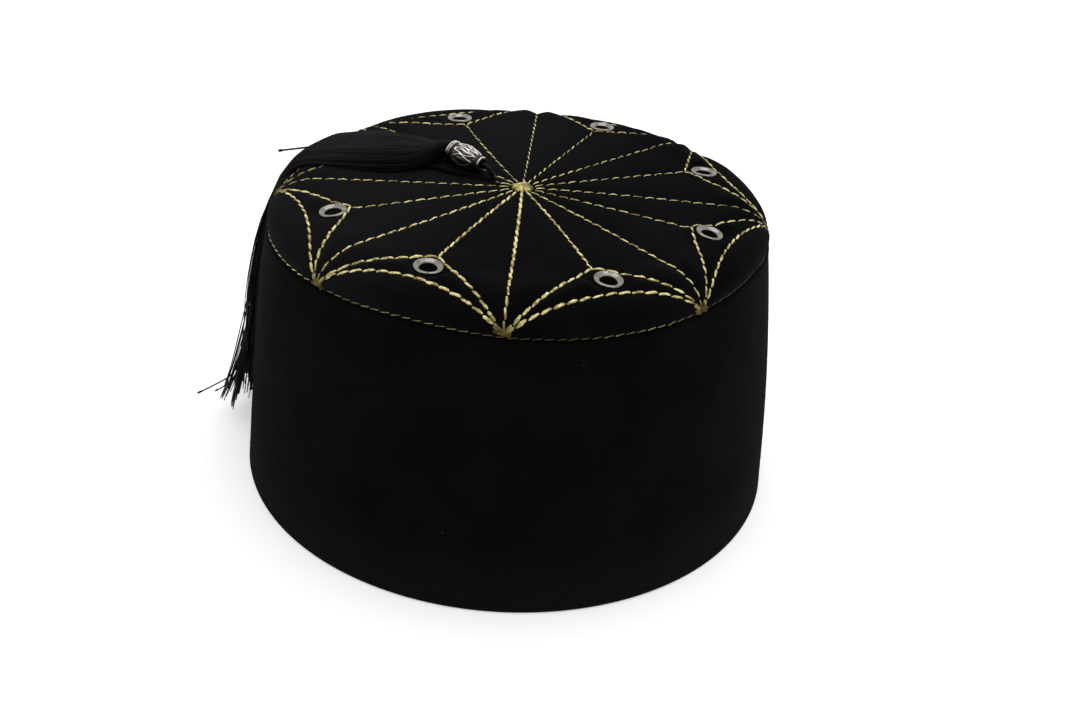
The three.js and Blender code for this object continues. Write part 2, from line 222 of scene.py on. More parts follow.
# A hand-made hat is not quite round: where its seam is pushed out and where it rides up. Columns:
# azimuth in degrees, width in radians and distance in mm
SEAM_PUSH = ((208, 0.36, 1.8), (41, 0.45, 0.2))
SEAM_RISE = ((252, 0.24, 1.1), (335, 0.40, 3.2), (41, 0.45, 1.2))
SHOULDER_SAMPLES = 400


def humps(azimuth, rows):
    """The sum of humps at an azimuth. A row gives a middle in degrees, a width in radians and a
    height, and its hump is height * exp(-((azimuth - middle) / width)^2)."""
    total = 0
    for middle, width, height in rows:
        turn = (azimuth - math.radians(middle) + np.pi) % (2 * np.pi) - np.pi
        total = total + height * np.exp(-(turn / width) ** 2)
    return total


def seam_shift(azimuth):
    """How far the seam is pushed out and how far it rides up at an azimuth."""
    return humps(azimuth, SEAM_PUSH) * MM, humps(azimuth, SEAM_RISE) * MM


shoulder_turn = np.linspace(0, np.pi / 2, SHOULDER_SAMPLES)
shoulder_steps = np.hypot(SHOULDER_REACH * np.diff(np.sin(shoulder_turn)),
                          SHOULDER_DROP * np.diff(np.cos(shoulder_turn)))
shoulder_length = np.concatenate([[0], np.cumsum(shoulder_steps)])
EDGE_REACH = FLAT_RADIUS + shoulder_length[-1]


def crown_profile(reach):
    """Radius and height of the crown's stitched line at a reach, and its outward direction (radial
    and up): straight out to the flat's radius, then round the quarter ellipse."""
    turn = np.interp(reach - FLAT_RADIUS, shoulder_length, shoulder_turn)
    radius = np.where(reach < FLAT_RADIUS, reach, FLAT_RADIUS + SHOULDER_REACH * np.sin(turn))
    height = CROWN_EDGE + SHOULDER_DROP * np.cos(turn)
    away = unit(np.stack([np.sin(turn) / SHOULDER_REACH, np.cos(turn) / SHOULDER_DROP], axis=-1))
    return radius, height, away[..., 0], away[..., 1]


print("reach from the middle to the seam:", round(EDGE_REACH / MM, 1), "mm")

# %% [markdown]
# ## The star
# Sixteen gold lines leave the middle. Every other one runs to the rim; those between stop at a
# fork beside an eyelet, and two lines go on from each fork to the rim on either side. An inward
# bowed line, the petal, joins each rim point to the next, and one line runs round the rim. All
# are drawn flat here, as complex numbers in metres, and laid on the crown later.

# %% Lines of the star, drawn flat
RIM_LINE_REACH = EDGE_REACH - 0.4 * MM
HUB_PLACE = (-0.3 + 1.4j) * MM
LINE_POINTS = 41
RIM_LINE_POINTS = 361
# Columns: azimuth of the spoke that meets the rim and how far inside the seam it ends; azimuth and
# radius of the fork after it; azimuth and radius of the petal's middle; and how far the spoke, the
# fork's spoke and the fork's two sides bow to their left. Angles in degrees, lengths in mm.
STAR = np.array([
    (-90.6, 1.0, -66.9, 59.8, -64.9, 74.4, 0.4, 0.7, 0.2, 0.7),
    (-46.7, 0.2, -20.7, 59.0, -26.0, 74.2, 1.2, 0.2, -0.4, -1.0),
    (-2.0, 2.3, 24.7, 61.3, 23.1, 73.4, 1.6, 0.2, 0.3, -0.2),
    (44.9, 0.4, 67.8, 61.7, 68.1, 75.2, 0.6, 0.1, -0.2, 0.0),
    (88.7, 0.9, 113.9, 59.0, 114.1, 71.9, -0.1, 0.6, 0.4, 0.4),
    (140.3, 7.5, 160.6, 58.3, 160.0, 73.8, -1.0, 0.0, 0.0, 0.4),
    (184.3, 4.8, 205.8, 59.5, 204.9, 73.3, -0.7, -0.1, 0.3, 0.2),
    (226.0, 0.3, 247.5, 59.5, 245.5, 74.0, 0.9, -0.5, 0.2, -0.3),
])
star_turns = np.exp(1j * np.radians(STAR[:, :6:2]))
rim_points = (EDGE_REACH - STAR[:, 1] * MM) * star_turns[:, 0]
fork_points = STAR[:, 3] * MM * star_turns[:, 1]
petal_middles = STAR[:, 5] * MM * star_turns[:, 2]
spoke_bow, fork_bow, near_bow, far_bow = STAR[:, 6:].T * MM
next_rim = np.roll(rim_points, -1)
along_line = np.linspace(0, 1, LINE_POINTS)


def bowed(start, middle, end):
    """Points on quadratic curves that pass through the middle at half their length."""
    control = 2 * middle - (start + end) / 2
    return (np.outer(start, (1 - along_line) ** 2) + np.outer(end, along_line ** 2)
            + np.outer(control, 2 * along_line * (1 - along_line)))


def drawn(start, end, bow):
    """Lines from start to end that bow to their left: the middle is moved a quarter turn aside."""
    run = end - start
    return bowed(start, (start + end) / 2 + 1j * run / abs(run) * bow, end)


hub = np.full(len(STAR), HUB_PLACE)
spokes = drawn(hub, rim_points, spoke_bow)
fork_spokes = drawn(hub, fork_points, fork_bow)
near_sides = drawn(fork_points, rim_points, near_bow)
far_sides = drawn(fork_points, next_rim, far_bow)
petals = bowed(rim_points, petal_middles, next_rim)
spoke_lines = np.concatenate([spokes, fork_spokes])
fork_lines = np.concatenate([near_sides, far_sides, petals])
rim_line = RIM_LINE_REACH * np.exp(2j * np.pi * np.linspace(0, 1, RIM_LINE_POINTS))[None]
print("star:", len(spoke_lines) + len(fork_lines), "lines")

# %% [markdown]
# ## Quilted crown
# Velvet, wadding and backing are sewn together along the star, so the velvet is tight on each line
# and swells between lines. A cloth simulation under pressure could swell it, but this wadding
# rises about a millimetre, less than a remeshed cloth can show. Its height over the stitched line
# is the full swell times (1 - exp(-distance to the nearest line / width)), with small puckers
# where the thread pulls. Under each eyelet it is pressed to the eyelet's own leaning plane.

# %% Swell of the wadding
TOP_SWELL = 0.7 * MM
SHOULDER_SWELL = 2.4 * MM
SWELL_WIDTH = 4.5 * MM
SHOULDER_BLEND = 6 * MM
PUCKER = 0.12 * MM
PUCKER_FADE = 3 * MM
EYELET_PRESS = np.array([5.0, 8.5]) * MM
# Rise of the velvet under each eyelet towards -x and -y, as the sine of a small angle
EYELET_LEANS = np.sin(np.radians([
    (5.3, -3.6), (11.0, -1.4), (2.5, 4.0), (1.6, 3.7), (-1.6, 3.7), (-3.8, 1.4), (-9.0, -1.8),
    (2.5, -3.7)]))


def distance_to(lines, spots):
    """Distance from flat spots to the nearest of many lines. A spot is dropped onto each straight
    piece of a line, with the foot kept between the piece's ends."""
    nearest = np.full(spots.shape, np.inf)
    for start, end in np.stack([lines[:, :-1], lines[:, 1:]], axis=-1).reshape(-1, 2):
        run = end - start
        foot = np.clip(((spots - start) * np.conj(run)).real / abs(run) ** 2, 0, 1)
        nearest = np.minimum(nearest, abs(spots - start - foot * run))
    return nearest


# Every eighth point of a line is enough to measure from
star_lines = np.concatenate([spoke_lines, fork_lines])[:, ::8]
eyelet_spots = eyelet_places[:, 0] + 1j * eyelet_places[:, 1]


def seam_pull(reach, azimuth):
    """How far the crown is pushed out and up at a reach and an azimuth by its uneven seam."""
    push, rise = seam_shift(azimuth)
    near_seam = smooth_step(reach, FLAT_RADIUS - SHOULDER_BLEND, EDGE_REACH)
    return near_seam * push, near_seam * rise


def swell(reach, azimuth):
    """Height of the velvet over the crown's stitched line at a reach and an azimuth. Under an
    eyelet it is what brings the velvet to the eyelet's own leaning plane."""
    spots = reach * np.exp(1j * azimuth)
    distance = np.minimum(distance_to(star_lines, spots), abs(RIM_LINE_REACH - reach))
    on_shoulder = smooth_step(reach, FLAT_RADIUS - SHOULDER_BLEND, FLAT_RADIUS + SHOULDER_BLEND)
    full = TOP_SWELL + (SHOULDER_SWELL - TOP_SWELL) * on_shoulder
    waves = np.sin(reach / MM * 1.7 + 3 * np.sin(5 * azimuth)) * np.sin(31 * azimuth + reach / MM)
    pucker = PUCKER * waves * np.exp(-distance / PUCKER_FADE) * smooth_step(reach, 0, 12 * MM)
    rise = full * (1 - np.exp(-distance / SWELL_WIDTH)) + pucker
    level = CROWN_HEIGHT - crown_profile(reach)[1] - seam_pull(reach, azimuth)[1]
    for spot, (lean_x, lean_y) in zip(eyelet_spots, EYELET_LEANS):
        step = spots - spot
        seat = level - step.real * lean_x - step.imag * lean_y
        rise = seat + (rise - seat) * smooth_step(abs(step), *EYELET_PRESS)
    return rise


def on_crown(reach, azimuth, lift=0.0):
    """Points on the velvet at a reach and an azimuth, or at a height over it."""
    radius, height, out, up = crown_profile(reach)
    push, rise = seam_pull(reach, azimuth)
    over = swell(reach, azimuth) + lift
    return round_points(radius + push + over * out, azimuth, height + rise + over * up)


# %% Crown panel
CROWN_COLUMNS = 480
FLAT_ROWS = 84
SHOULDER_ROWS = 46
BACKING_ROWS = 7
HUB_RADIUS = 0.4 * MM

flat_rows = np.linspace(HUB_RADIUS, FLAT_RADIUS - 6 * MM, FLAT_ROWS)
shoulder_rows = np.linspace(FLAT_RADIUS - 5.4 * MM, EDGE_REACH, SHOULDER_ROWS)
velvet_reach = np.concatenate([flat_rows, shoulder_rows])[::-1]
crown_azimuth = once_round(CROWN_COLUMNS)
velvet = on_crown(velvet_reach[:, None], crown_azimuth[None, :])

inner_turn = np.linspace(0, np.pi / 2, BACKING_ROWS)
inner_radius = FLAT_RADIUS + (SHOULDER_REACH - CROWN_THICKNESS) * np.sin(inner_turn)
inner_height = CROWN_EDGE + (SHOULDER_DROP - CROWN_THICKNESS) * np.cos(inner_turn)
inner_radius = np.concatenate([[HUB_RADIUS, FLAT_RADIUS / 2], inner_radius])
inner_height = np.concatenate([inner_height[:1], inner_height[:1], inner_height])
push, rise = seam_shift(crown_azimuth)
near_seam = smooth_step(inner_radius, FLAT_RADIUS, inner_radius[-1])[:, None]
backing = round_points(inner_radius[:, None] + near_seam * push, crown_azimuth[None, :],
                       inner_height[:, None] + near_seam * rise)

crown_points = np.concatenate([backing, velvet])
crown_faces = [grid_faces(len(crown_points), CROWN_COLUMNS)]
crown_faces += end_faces(len(crown_points), CROWN_COLUMNS)
crown = make_piece("crown_velvet", crown_points.reshape(-1, 3), crown_faces,
                   "velvet", ["crown_panel"])

# %% [markdown]
# ## Holes in the crown
# Punched holes take the eyelets and the tassel's cord. Faces could be deleted by hand, but a
# Boolean modifier cuts clean round holes through both layers. Its result is kept as the mesh, so
# no cutter stays in the scene.

# %% Punch the holes
EYELET_HOLE = 3.6 * MM
CORD_RADIUS = 1.1 * MM
CORD_HOLE = 1.4 * MM
HOLE_SIDES = 28
BEAD_START = np.array((-14.5, 6.8, 107.8)) * MM
BEAD_AZIMUTH = math.radians(145)
CORD_BEND = 4.6 * MM
CORD_LEAD = 0.6 * MM

bead_heading = np.array((math.cos(BEAD_AZIMUTH), math.sin(BEAD_AZIMUTH), 0))
cord_exit = BEAD_START - bead_heading * (CORD_BEND + CORD_LEAD)
hole_places = np.concatenate([eyelet_places, cord_exit[None, :2]])
hole_ends = (CROWN_EDGE, CROWN_HEIGHT + 4 * MM)
hole_paths = np.array([[(x, y, end) for end in hole_ends] for x, y in hole_places])
hole_radii = np.array([EYELET_HOLE] * len(EYELETS) + [CORD_HOLE])[:, None, None]
punch_tubes = tubes(hole_paths, hole_radii, HOLE_SIDES, np.array((1.0, 0, 0)))
punch = make_piece("punch", *punch_tubes, "velvet")
cut = crown.modifiers.new("holes", "BOOLEAN")
cut.solver = "MANIFOLD"
cut.object = punch
punched = bpy.data.meshes.new_from_object(crown.evaluated_get(bpy.context.evaluated_depsgraph_get()))
crown.modifiers.remove(cut)
crown.data = punched
bpy.data.objects.remove(punch)
print("crown with holes has", len(punched.polygons), "faces")

# %% [markdown]
# ## Side band
# The wall is a stiff strip of velvet sewn in close rows right round, so it has fine ribs between
# the rows. Ribs could be a bump in the material, but they catch light along the outline too, so
# they are real here: one closed profile, up the outside, over the fold and down the inside, turned
# round the middle. The relief is a rounded sine of the height, and its rows wander a little.

# %% Side band
BAND_COLUMNS = 420
BAND_ROWS = 150
LINING_ROWS = 14
LINING_TOP = 92 * MM
LINING_UPRIGHT = 91 * MM
LINING_FOOT = 0.4 * MM
ROW_PITCH = 3.7 * MM
FIRST_ROW = BAND_TOP - 4 * MM
RIB = 0.12 * MM
DENT = 0.25 * MM
LEAN_DEPTH = 55 * MM
HEM_RADII = np.array([[92.4], [94.0]]) * MM
# Radius and height over the fold at the band's top, in mm
BAND_FOLD = np.array([(83.9, 91.4), (83.6, 92.1), (83.0, 92.6), (82.4, 92.7), (81.1, 92.7)]) * MM


def row_shift(azimuth):
    """How far the sewn rows wander up or down at an azimuth."""
    return 0.35 * MM * np.sin(3 * azimuth + 0.7) + 0.2 * MM * np.sin(8 * azimuth)


def band_relief(height, azimuth):
    """Ribs between the sewn rows, |sin| to the power 0.7, and shallow dents of the whole wall."""
    ribs = abs(np.sin(np.pi * (FIRST_ROW + row_shift(azimuth) - height) / ROW_PITCH)) ** 0.7
    ends = smooth_step(height, 0.5 * MM, 3 * MM) * smooth_step(BAND_TOP - height, 0.8 * MM, 3 * MM)
    dents = np.sin(2 * azimuth + 1.1) * np.sin(30 * height + 0.4) + np.sin(5 * azimuth + 60 * height)
    return ends * (RIB * (ribs - 0.6) + DENT * dents * 0.5)


def lean(radius, height, azimuth):
    """Radius and height of a place on the band once its top follows the seam."""
    push, rise = seam_shift(azimuth)
    near_seam = smooth_step(height, BAND_TOP - LEAN_DEPTH, BAND_TOP)
    return radius + near_seam * push, height + near_seam ** 2 * rise


def on_band(height, azimuth, lift=0.0):
    """Points on the band's outside at a height and an azimuth, or at a distance from it."""
    radius = band_radius(height) + band_relief(height, azimuth) + lift
    radius, lifted = lean(radius, height, azimuth)
    return round_points(radius, azimuth, lifted)


band_azimuth = once_round(BAND_COLUMNS)[None, :]
outside_height = np.linspace(BAND_HEIGHTS[0], BAND_HEIGHTS[-1], BAND_ROWS)[:, None]
outside = on_band(outside_height, band_azimuth)
fold_radius, fold_height = lean(BAND_FOLD[:, :1], BAND_FOLD[:, 1:], band_azimuth)
fold = round_points(fold_radius, band_azimuth, fold_height)
lining_height = np.linspace(LINING_TOP, LINING_FOOT, LINING_ROWS)[:, None]
lining_radius = band_radius(np.minimum(lining_height, LINING_UPRIGHT)) - WALL
lining_radius, lining_height = lean(lining_radius, lining_height, band_azimuth)
lining = round_points(lining_radius, band_azimuth, lining_height)
hem = round_points(HEM_RADII, band_azimuth, np.zeros((2, 1)))
band_points = np.concatenate([hem, outside, fold, lining])
band_faces = [grid_faces(len(band_points), BAND_COLUMNS, close_rows=True)]
band = make_piece("band_velvet", band_points.reshape(-1, 3), band_faces, "velvet", ["side_band"])

# %% [markdown]
# ## Gold stitches
# The star is sewn with a thick two-ply thread. A stitch goes into the velvet at both ends and
# arches between them, which is why a line seen end on looks like a rope and one seen from the side
# looks like dashes. A curve with a bevel for each stitch would be slow, so all stitches of a set
# are worked out together, as tubes whose two-lobed section turns along the stitch.

# %% Lay stitches along lines
STITCH_SIDES = 8
STITCH_RINGS = 9
PLY_TURNS = 0.9
PLY_DEPTH = 0.15
FLATNESS = 0.42
SINK = 0.14 * MM
SLANT = 0.5 * MM
RIM_GATHER = np.array([1.0, 9.0]) * MM
# Painted shade: share of the gold's tone left where lines gather in the seam at the rim points
SEAM_SHADE = 0.16
rng = np.random.default_rng(11)
along_stitch = np.linspace(0, 1, STITCH_RINGS)


def stitch_spots(line, pitch, gap):
    """Flat places of the rings of each stitch on a line: equal steps of about the pitch, each with
    its own share of a gap at both ends, and a slight slant across the line."""
    length = np.concatenate([[0], np.cumsum(abs(np.diff(line)))])
    edges = np.linspace(0, length[-1], max(2, round(length[-1] / pitch)) + 1)
    gaps = pitch * gap * rng.uniform(0.3, 0.7, (2, len(edges) - 1))
    start, end = edges[:-1] + gaps[0], edges[1:] - gaps[1]
    spots = np.interp(start[:, None] + (end - start)[:, None] * along_stitch, length, line)
    run = (spots[:, -1:] - spots[:, :1]) / abs(spots[:, -1:] - spots[:, :1])
    slant = SLANT * rng.normal(1, 0.25, (len(spots), 1))
    return spots + 1j * run * slant * (along_stitch - 0.5)


def sew(name, spots, width, arch, tone=1.0):
    """A piece of stitches at flat spots (stitches, rings). The middle of the thread goes from SINK
    under the velvet at the ends to arch over it in the middle, by a power of a sine. Its section is
    a flattened circle with two lobes that turn along the stitch. Its shade attribute is the tone it
    is given, times painted shade that falls to a low share where lines gather in the seam at the rim."""
    bow = np.sin(np.pi * along_stitch)
    gather = smooth_step(abs(spots[..., None] - rim_points).min(axis=-1), *RIM_GATHER)
    wide = width * np.clip(rng.normal(1, 0.1, (len(spots), 1)), 0.75, 1.3)
    reach, azimuth = abs(spots), np.angle(spots)
    lift = (arch + SINK) * bow ** 0.45 - SINK
    paths = on_crown(reach, azimuth, lift)
    outward = unit(on_crown(reach, azimuth, lift + MM) - paths)
    angle = once_round(STITCH_SIDES)
    turn = 2 * np.pi * PLY_TURNS * along_stitch[:, None] + rng.uniform(0, np.pi, (len(spots), 1, 1))
    lobes = 1 + PLY_DEPTH * np.cos(2 * (angle - turn))
    flat = np.hypot(np.cos(angle), FLATNESS * np.sin(angle))
    radii = (wide / 2 * (0.45 + 0.55 * bow ** 0.5))[:, :, None] * lobes * flat
    made = make_piece(name, *tubes(paths, radii, STITCH_SIDES, outward), "gold_thread")
    keep(made, "shade", np.repeat(tone * (SEAM_SHADE + (1 - SEAM_SHADE) * gather), STITCH_SIDES))
    return made


def laid(lines, pitch, gap):
    """The spots of all stitches along several flat lines, with one gap for all or one for each."""
    gaps = np.broadcast_to(gap, len(lines))
    return np.concatenate([stitch_spots(line, pitch, own) for line, own in zip(lines, gaps)])


# %% The star in gold thread
STAR_PITCH = 4.15 * MM
SPOKE_WIDTH = 0.93 * MM
SPOKE_ARCH = 0.24 * MM
SPOKE_GAP = 0.17
FORK_WIDTH = 1.08 * MM
FORK_ARCH = 0.28 * MM
FORK_GAP = 0.05
TIGHT_GAP = 0.15
RIM_PITCH = 3.7 * MM
RIM_WIDTH = 0.36 * MM
RIM_ARCH = 0.12 * MM
RIM_GAP = 0.06
LINE_MIDDLE = LINE_POINTS // 2
# Where the sewing is loose, where the forks' stitches overlap, where the forks are darker, and where
# the rim's thread is lit and is thin. The forks are darker under the front edge of the tassel's fan,
# as painted shade, and at the back right. The rim's thread is bright by painted light at the left
# and less at the front, and dark elsewhere. Columns: azimuth in degrees, width in radians and amount
LOOSE = ((262, 0.9, 1),)
FORK_OVERLAP = ((210, 0.3, 0.13),)
FORK_DARKER = ((172, 0.17, 0.6), (54, 0.17, 0.5))
RIM_LIT = ((211, 0.28, 0.9), (249, 0.24, 0.29), (298, 0.2, 0.34))
RIM_THIN = ((340, 0.4, 0.5), (278, 0.13, 0.45))


def looseness(spots):
    """How loose the sewing is at flat spots, from 0 to 1. It is loosest at the front left, where
    stitches are full and close."""
    return humps(np.angle(spots), LOOSE)


spoke_gaps = SPOKE_GAP * (1 - 1.25 * looseness(spoke_lines[:, LINE_MIDDLE]))
spoke_spots = laid(spoke_lines, STAR_PITCH, spoke_gaps)
spoke_width = SPOKE_WIDTH * (0.45 + 0.55 * looseness(spoke_spots[:, :1]))
gold_spokes = sew("gold_spokes", spoke_spots, spoke_width, SPOKE_ARCH)

fork_middles = fork_lines[:, LINE_MIDDLE]
fork_gaps = FORK_GAP + (TIGHT_GAP - FORK_GAP) * (1 - looseness(fork_middles)) ** 2
fork_gaps = fork_gaps - humps(np.angle(fork_middles), FORK_OVERLAP)
fork_spots = laid(fork_lines, STAR_PITCH, fork_gaps)
fork_width = FORK_WIDTH * (0.64 + 0.36 * looseness(fork_spots[:, :1]))
# Painted shade darkens the fork stitches under the tassel's edge; they are darker at the back right too
fork_tone = 1 - humps(np.angle(fork_spots), FORK_DARKER)
gold_forks = sew("gold_forks", fork_spots, fork_width, FORK_ARCH, fork_tone)

rim_spots = laid(rim_line, RIM_PITCH, RIM_GAP)
rim_azimuth = np.angle(rim_spots)
# Painted light and shade: the rim's thread is bright at the left, less so at the front, dark elsewhere
rim_lit = 0.02 + humps(rim_azimuth, RIM_LIT)
rim_width = RIM_WIDTH * (1 - humps(rim_azimuth[:, :1], RIM_THIN))
gold_rim = sew("gold_rim", rim_spots, rim_width, RIM_ARCH, np.minimum(rim_lit, 1))

# %% [markdown]
# ## Knots of the star
# All sixteen lines cross at the middle, so thread piles up there in a small bright cushion. Six
# lines end at each rim point, where the thread is fastened off in a small pile along the seam, made
# darker by painted shade. Both are made of the same stitches, each lifted a little over the last.

# %% Piles of stitches at the middle and at the rim points
PILE_WIDTH = 0.8 * MM
HUB_STITCHES = 26
HUB_TURNS = 5
HUB_LENGTH = 3.4 * MM
HUB_ARCH = 0.4 * MM
HUB_PILE = 0.9 * MM
POINT_STITCHES = 12
POINT_INSET = 0.01
POINT_LENGTH = 2.8 * MM
POINT_ARCH = 0.2 * MM
POINT_PILE = 0.35 * MM


def scatter(shape, size):
    """Random flat steps of about a size, as complex numbers."""
    return rng.normal(0, size, shape) + 1j * rng.normal(0, size, shape)


hub_angle = np.pi * np.arange(HUB_STITCHES) / HUB_STITCHES * HUB_TURNS
hub_angle = hub_angle + rng.normal(0, 0.1, HUB_STITCHES)
hub_half = HUB_LENGTH * rng.uniform(0.6, 1.1, (HUB_STITCHES, 1))
hub_spots = np.exp(1j * hub_angle)[:, None] * hub_half * (2 * along_stitch - 1)
hub_spots = HUB_PLACE + hub_spots + scatter((HUB_STITCHES, 1), 0.5 * MM)
hub_arch = HUB_ARCH + HUB_PILE * np.linspace(0.1, 1, HUB_STITCHES)[:, None]
gold_hub = sew("gold_hub", hub_spots, PILE_WIDTH, hub_arch)

piles = (len(STAR), POINT_STITCHES, 1)
along_seam = 1j * (rim_points / abs(rim_points))[:, None, None]
along_seam = along_seam * np.exp(1j * rng.normal(0, 0.25, piles))
point_half = POINT_LENGTH * rng.uniform(0.5, 1, piles)
point_spots = rim_points[:, None, None] * (1 - POINT_INSET) + scatter(piles, 0.35 * MM)
point_spots = point_spots + along_seam * point_half * (2 * along_stitch - 1)
point_arch = POINT_ARCH + POINT_PILE * np.linspace(0, 1, POINT_STITCHES)
point_arch = np.tile(point_arch, len(STAR))[:, None]
gold_points = sew("gold_points", point_spots.reshape(-1, STITCH_RINGS), PILE_WIDTH, point_arch)

# %% [markdown]
# ## Black rows on the band
# The rows round the wall are sewn in black, one row in every groove between two ribs. They hardly
# show, but they break the light along each groove. There are thousands, so a stitch has few faces.

# %% Quilting stitches
QUILT_THREAD = 0.24 * MM
QUILT_PITCH = 3.6 * MM
LAST_ROW = 3 * MM
QUILT_RINGS = 4
QUILT_SIDES = 4

row_heights = np.arange(FIRST_ROW, LAST_ROW, -ROW_PITCH)
per_row = round(2 * np.pi * RIM_RADIUS / QUILT_PITCH)
ring_share = np.linspace(0.1, 0.9, QUILT_RINGS)
quilt_azimuth = 2 * np.pi * (np.arange(per_row)[:, None] + ring_share) / per_row
quilt_azimuth = quilt_azimuth + 2 * np.pi / per_row * rng.random((len(row_heights), 1, 1))
quilt_height = row_heights[:, None, None] + row_shift(quilt_azimuth)
quilt_lift = QUILT_THREAD * (0.55 * np.sin(np.pi * ring_share) - 0.35)
quilt_paths = on_band(quilt_height, quilt_azimuth, quilt_lift).reshape(-1, QUILT_RINGS, 3)
quilt_outward = round_points(1.0, quilt_azimuth, np.zeros(1)).reshape(-1, QUILT_RINGS, 3)
quilt_tubes = tubes(quilt_paths, QUILT_THREAD / 2, QUILT_SIDES, quilt_outward)
quilt = make_piece("band_stitches", *quilt_tubes, "black_thread")

# %% [markdown]
# ## Eyelets
# An eyelet is a nickel tube with a rolled flange on top, clenched outward below the backing. It
# is pressed from sheet, so every edge is round. One profile, up the flange's edge, over its top,
# down a slope into the bore and back up outside the barrel, is smoothed and turned about the
# eyelet's middle. Each eyelet then leans the way the velvet is pressed under it.

# %% Eyelets
EYELET_COLUMNS = 72
EYELET_ROWS = 61
# Radius and height over the velvet's stitched line, in mm
EYELET_PROFILE = np.array([
    (4.2, -0.1), (4.46, -0.04), (4.6, 0.22), (4.5, 0.56), (4.24, 0.76), (3.92, 0.78), (3.6, 0.66),
    (3.3, 0.5), (3.02, 0.36), (2.74, 0.14), (2.52, -0.16), (2.42, -0.5), (2.4, -0.9), (2.4, -1.6),
    (2.4, -2.7), (2.55, -3.35), (3.1, -3.72), (3.7, -3.74), (4.1, -3.45), (4.05, -3.0), (3.75, -2.82),
    (3.4, -2.85), (3.25, -2.6), (3.25, -1.6), (3.25, -0.6), (3.35, -0.16), (3.7, -0.1), (4.2, -0.1),
]) * MM


def turned(profile, columns):
    """A profile of (radius, height) rows turned about the vertical axis."""
    return round_points(profile[:, :1], once_round(columns)[None, :], profile[:, 1:])


eyelet_ring = turned(smooth_path(EYELET_PROFILE, EYELET_ROWS)[:-1], EYELET_COLUMNS).reshape(-1, 3)
eyelet_faces = [grid_faces(EYELET_ROWS - 1, EYELET_COLUMNS, close_rows=True)]
eyelet_pieces = []
for name, place, (lean_x, lean_y) in zip(EYELETS, eyelet_places, EYELET_LEANS):
    # Rows of the turn: two directions in the eyelet's leaning plane, and the one square to both
    square = unit(np.array((lean_x, lean_y, 1)))
    first_way = unit(np.cross((0, 1, 0), square))
    ring = eyelet_ring @ np.array((first_way, np.cross(square, first_way), square))
    eyelet_pieces.append(make_piece(f"{name}_ring", ring + np.array((*place, CROWN_HEIGHT)),
                                    eyelet_faces, "nickel", [name]))

# %% [markdown]
# ## Tassel bead
# The tassel hangs from a cast bead of old silver, with a rolled rim at each end and raised oval
# frames round its belly. Carving would need a sculpted mesh; here the relief is a function of the
# angle and the place along the bead, added to a smooth turned profile. It is also kept as an
# attribute, so the finish can leave the low places dark. The attribute is weak on the underside,
# which is painted shade: the side that faces the black velvet is left dark.

# %% Bead
BEAD_TILT = math.radians(3.5)
BEAD_COLUMNS = 168
BEAD_ROWS = 120
BEAD_LENGTH = 13.5 * MM
BEAD_CUP = 3.2 * MM
BEAD_CUP_DEPTH = 3.5 * MM
BEAD_BORE = 1.5 * MM
FRAMES = 4
FRAME_TURN = 0.9
FRAME_MIDDLE = 6.6 * MM
WAVE_RISE = 3.9 * MM
WAVE_WIDTH = 0.36 * MM
FRAME_RAISE = 0.4 * MM
# Turn of the bead's lit upper side; painted shade darkens the underside
LIT_SIDE_TURN = math.radians(28)
# Places of the bright rings along the bead, in mm
BEAD_RINGS = (0.4, 12.3, 13.2)
# Radius and place along the bead, in mm
BEAD_PROFILE = np.array([
    (2.1, 0), (2.45, 0.12), (2.55, 0.45), (2.4, 0.85), (2.45, 1.2), (2.8, 2.0), (3.3, 3.2),
    (3.9, 5.0), (4.2, 7.2), (4.1, 9.2), (3.7, 11.0), (3.55, 11.5), (3.7, 11.9), (3.85, 12.3),
    (3.65, 12.7), (3.8, 13.2), (3.5, 13.5),
]) * MM


def bead_relief(angle, along):
    """Raised lines on the bead, from 0 to 1. Two uneven waves round the belly cross and make a row
    of ovals, each line exp(-(distance / width)^2). A vein runs down each oval, the ground is
    beaten by two crossing sines, and bright rings run round both ends."""
    uneven = angle + 0.09 * np.sin(2 * angle + 1) + 0.05 * np.sin(along / MM)
    wave = WAVE_RISE * np.cos(FRAMES * uneven)
    off_middle = along - FRAME_MIDDLE
    lines = np.exp(-((off_middle - wave) / WAVE_WIDTH) ** 2)
    lines = lines + np.exp(-((off_middle + wave) / WAVE_WIDTH) ** 2)
    veins = np.exp(-(off_middle / (2.1 * MM)) ** 2) * np.cos(FRAMES * uneven + 0.25) ** 24
    beaten = 0.09 * (1 + np.sin(13 * uneven) * np.sin(2.3 * along / MM))
    belly = smooth_step(along, 1.4 * MM, 2.0 * MM) * smooth_step(11.6 * MM - along, 0, 0.5 * MM)
    rings = sum(np.exp(-((along - place * MM) / (0.16 * MM)) ** 2) for place in BEAD_RINGS)
    return np.clip(belly * (lines + 0.6 * veins + beaten) + rings, 0, 1.15)


bead_angle = once_round(BEAD_COLUMNS)[None, :]
bead_outside = smooth_path(BEAD_PROFILE, BEAD_ROWS)
bead_raise = bead_relief(bead_angle + FRAME_TURN, bead_outside[:, 1:])
bead_inside = np.array([
    (BEAD_CUP, BEAD_LENGTH - 0.1 * MM), (BEAD_CUP, BEAD_LENGTH - BEAD_CUP_DEPTH),
    (BEAD_BORE, BEAD_LENGTH - BEAD_CUP_DEPTH), (BEAD_BORE, 0.2 * MM), (BEAD_BORE + 0.2 * MM, 0)])
bead_radius = bead_outside[:, :1] + FRAME_RAISE * (bead_raise - 0.35)
inside_shape = (len(bead_inside), BEAD_COLUMNS)
bead_radius = np.concatenate([bead_radius, np.broadcast_to(bead_inside[:, :1], inside_shape)])
bead_along = np.concatenate([bead_outside[:, 1:], bead_inside[:, 1:]])
bead_local = round_points(bead_radius, bead_angle, bead_along).reshape(-1, 3)

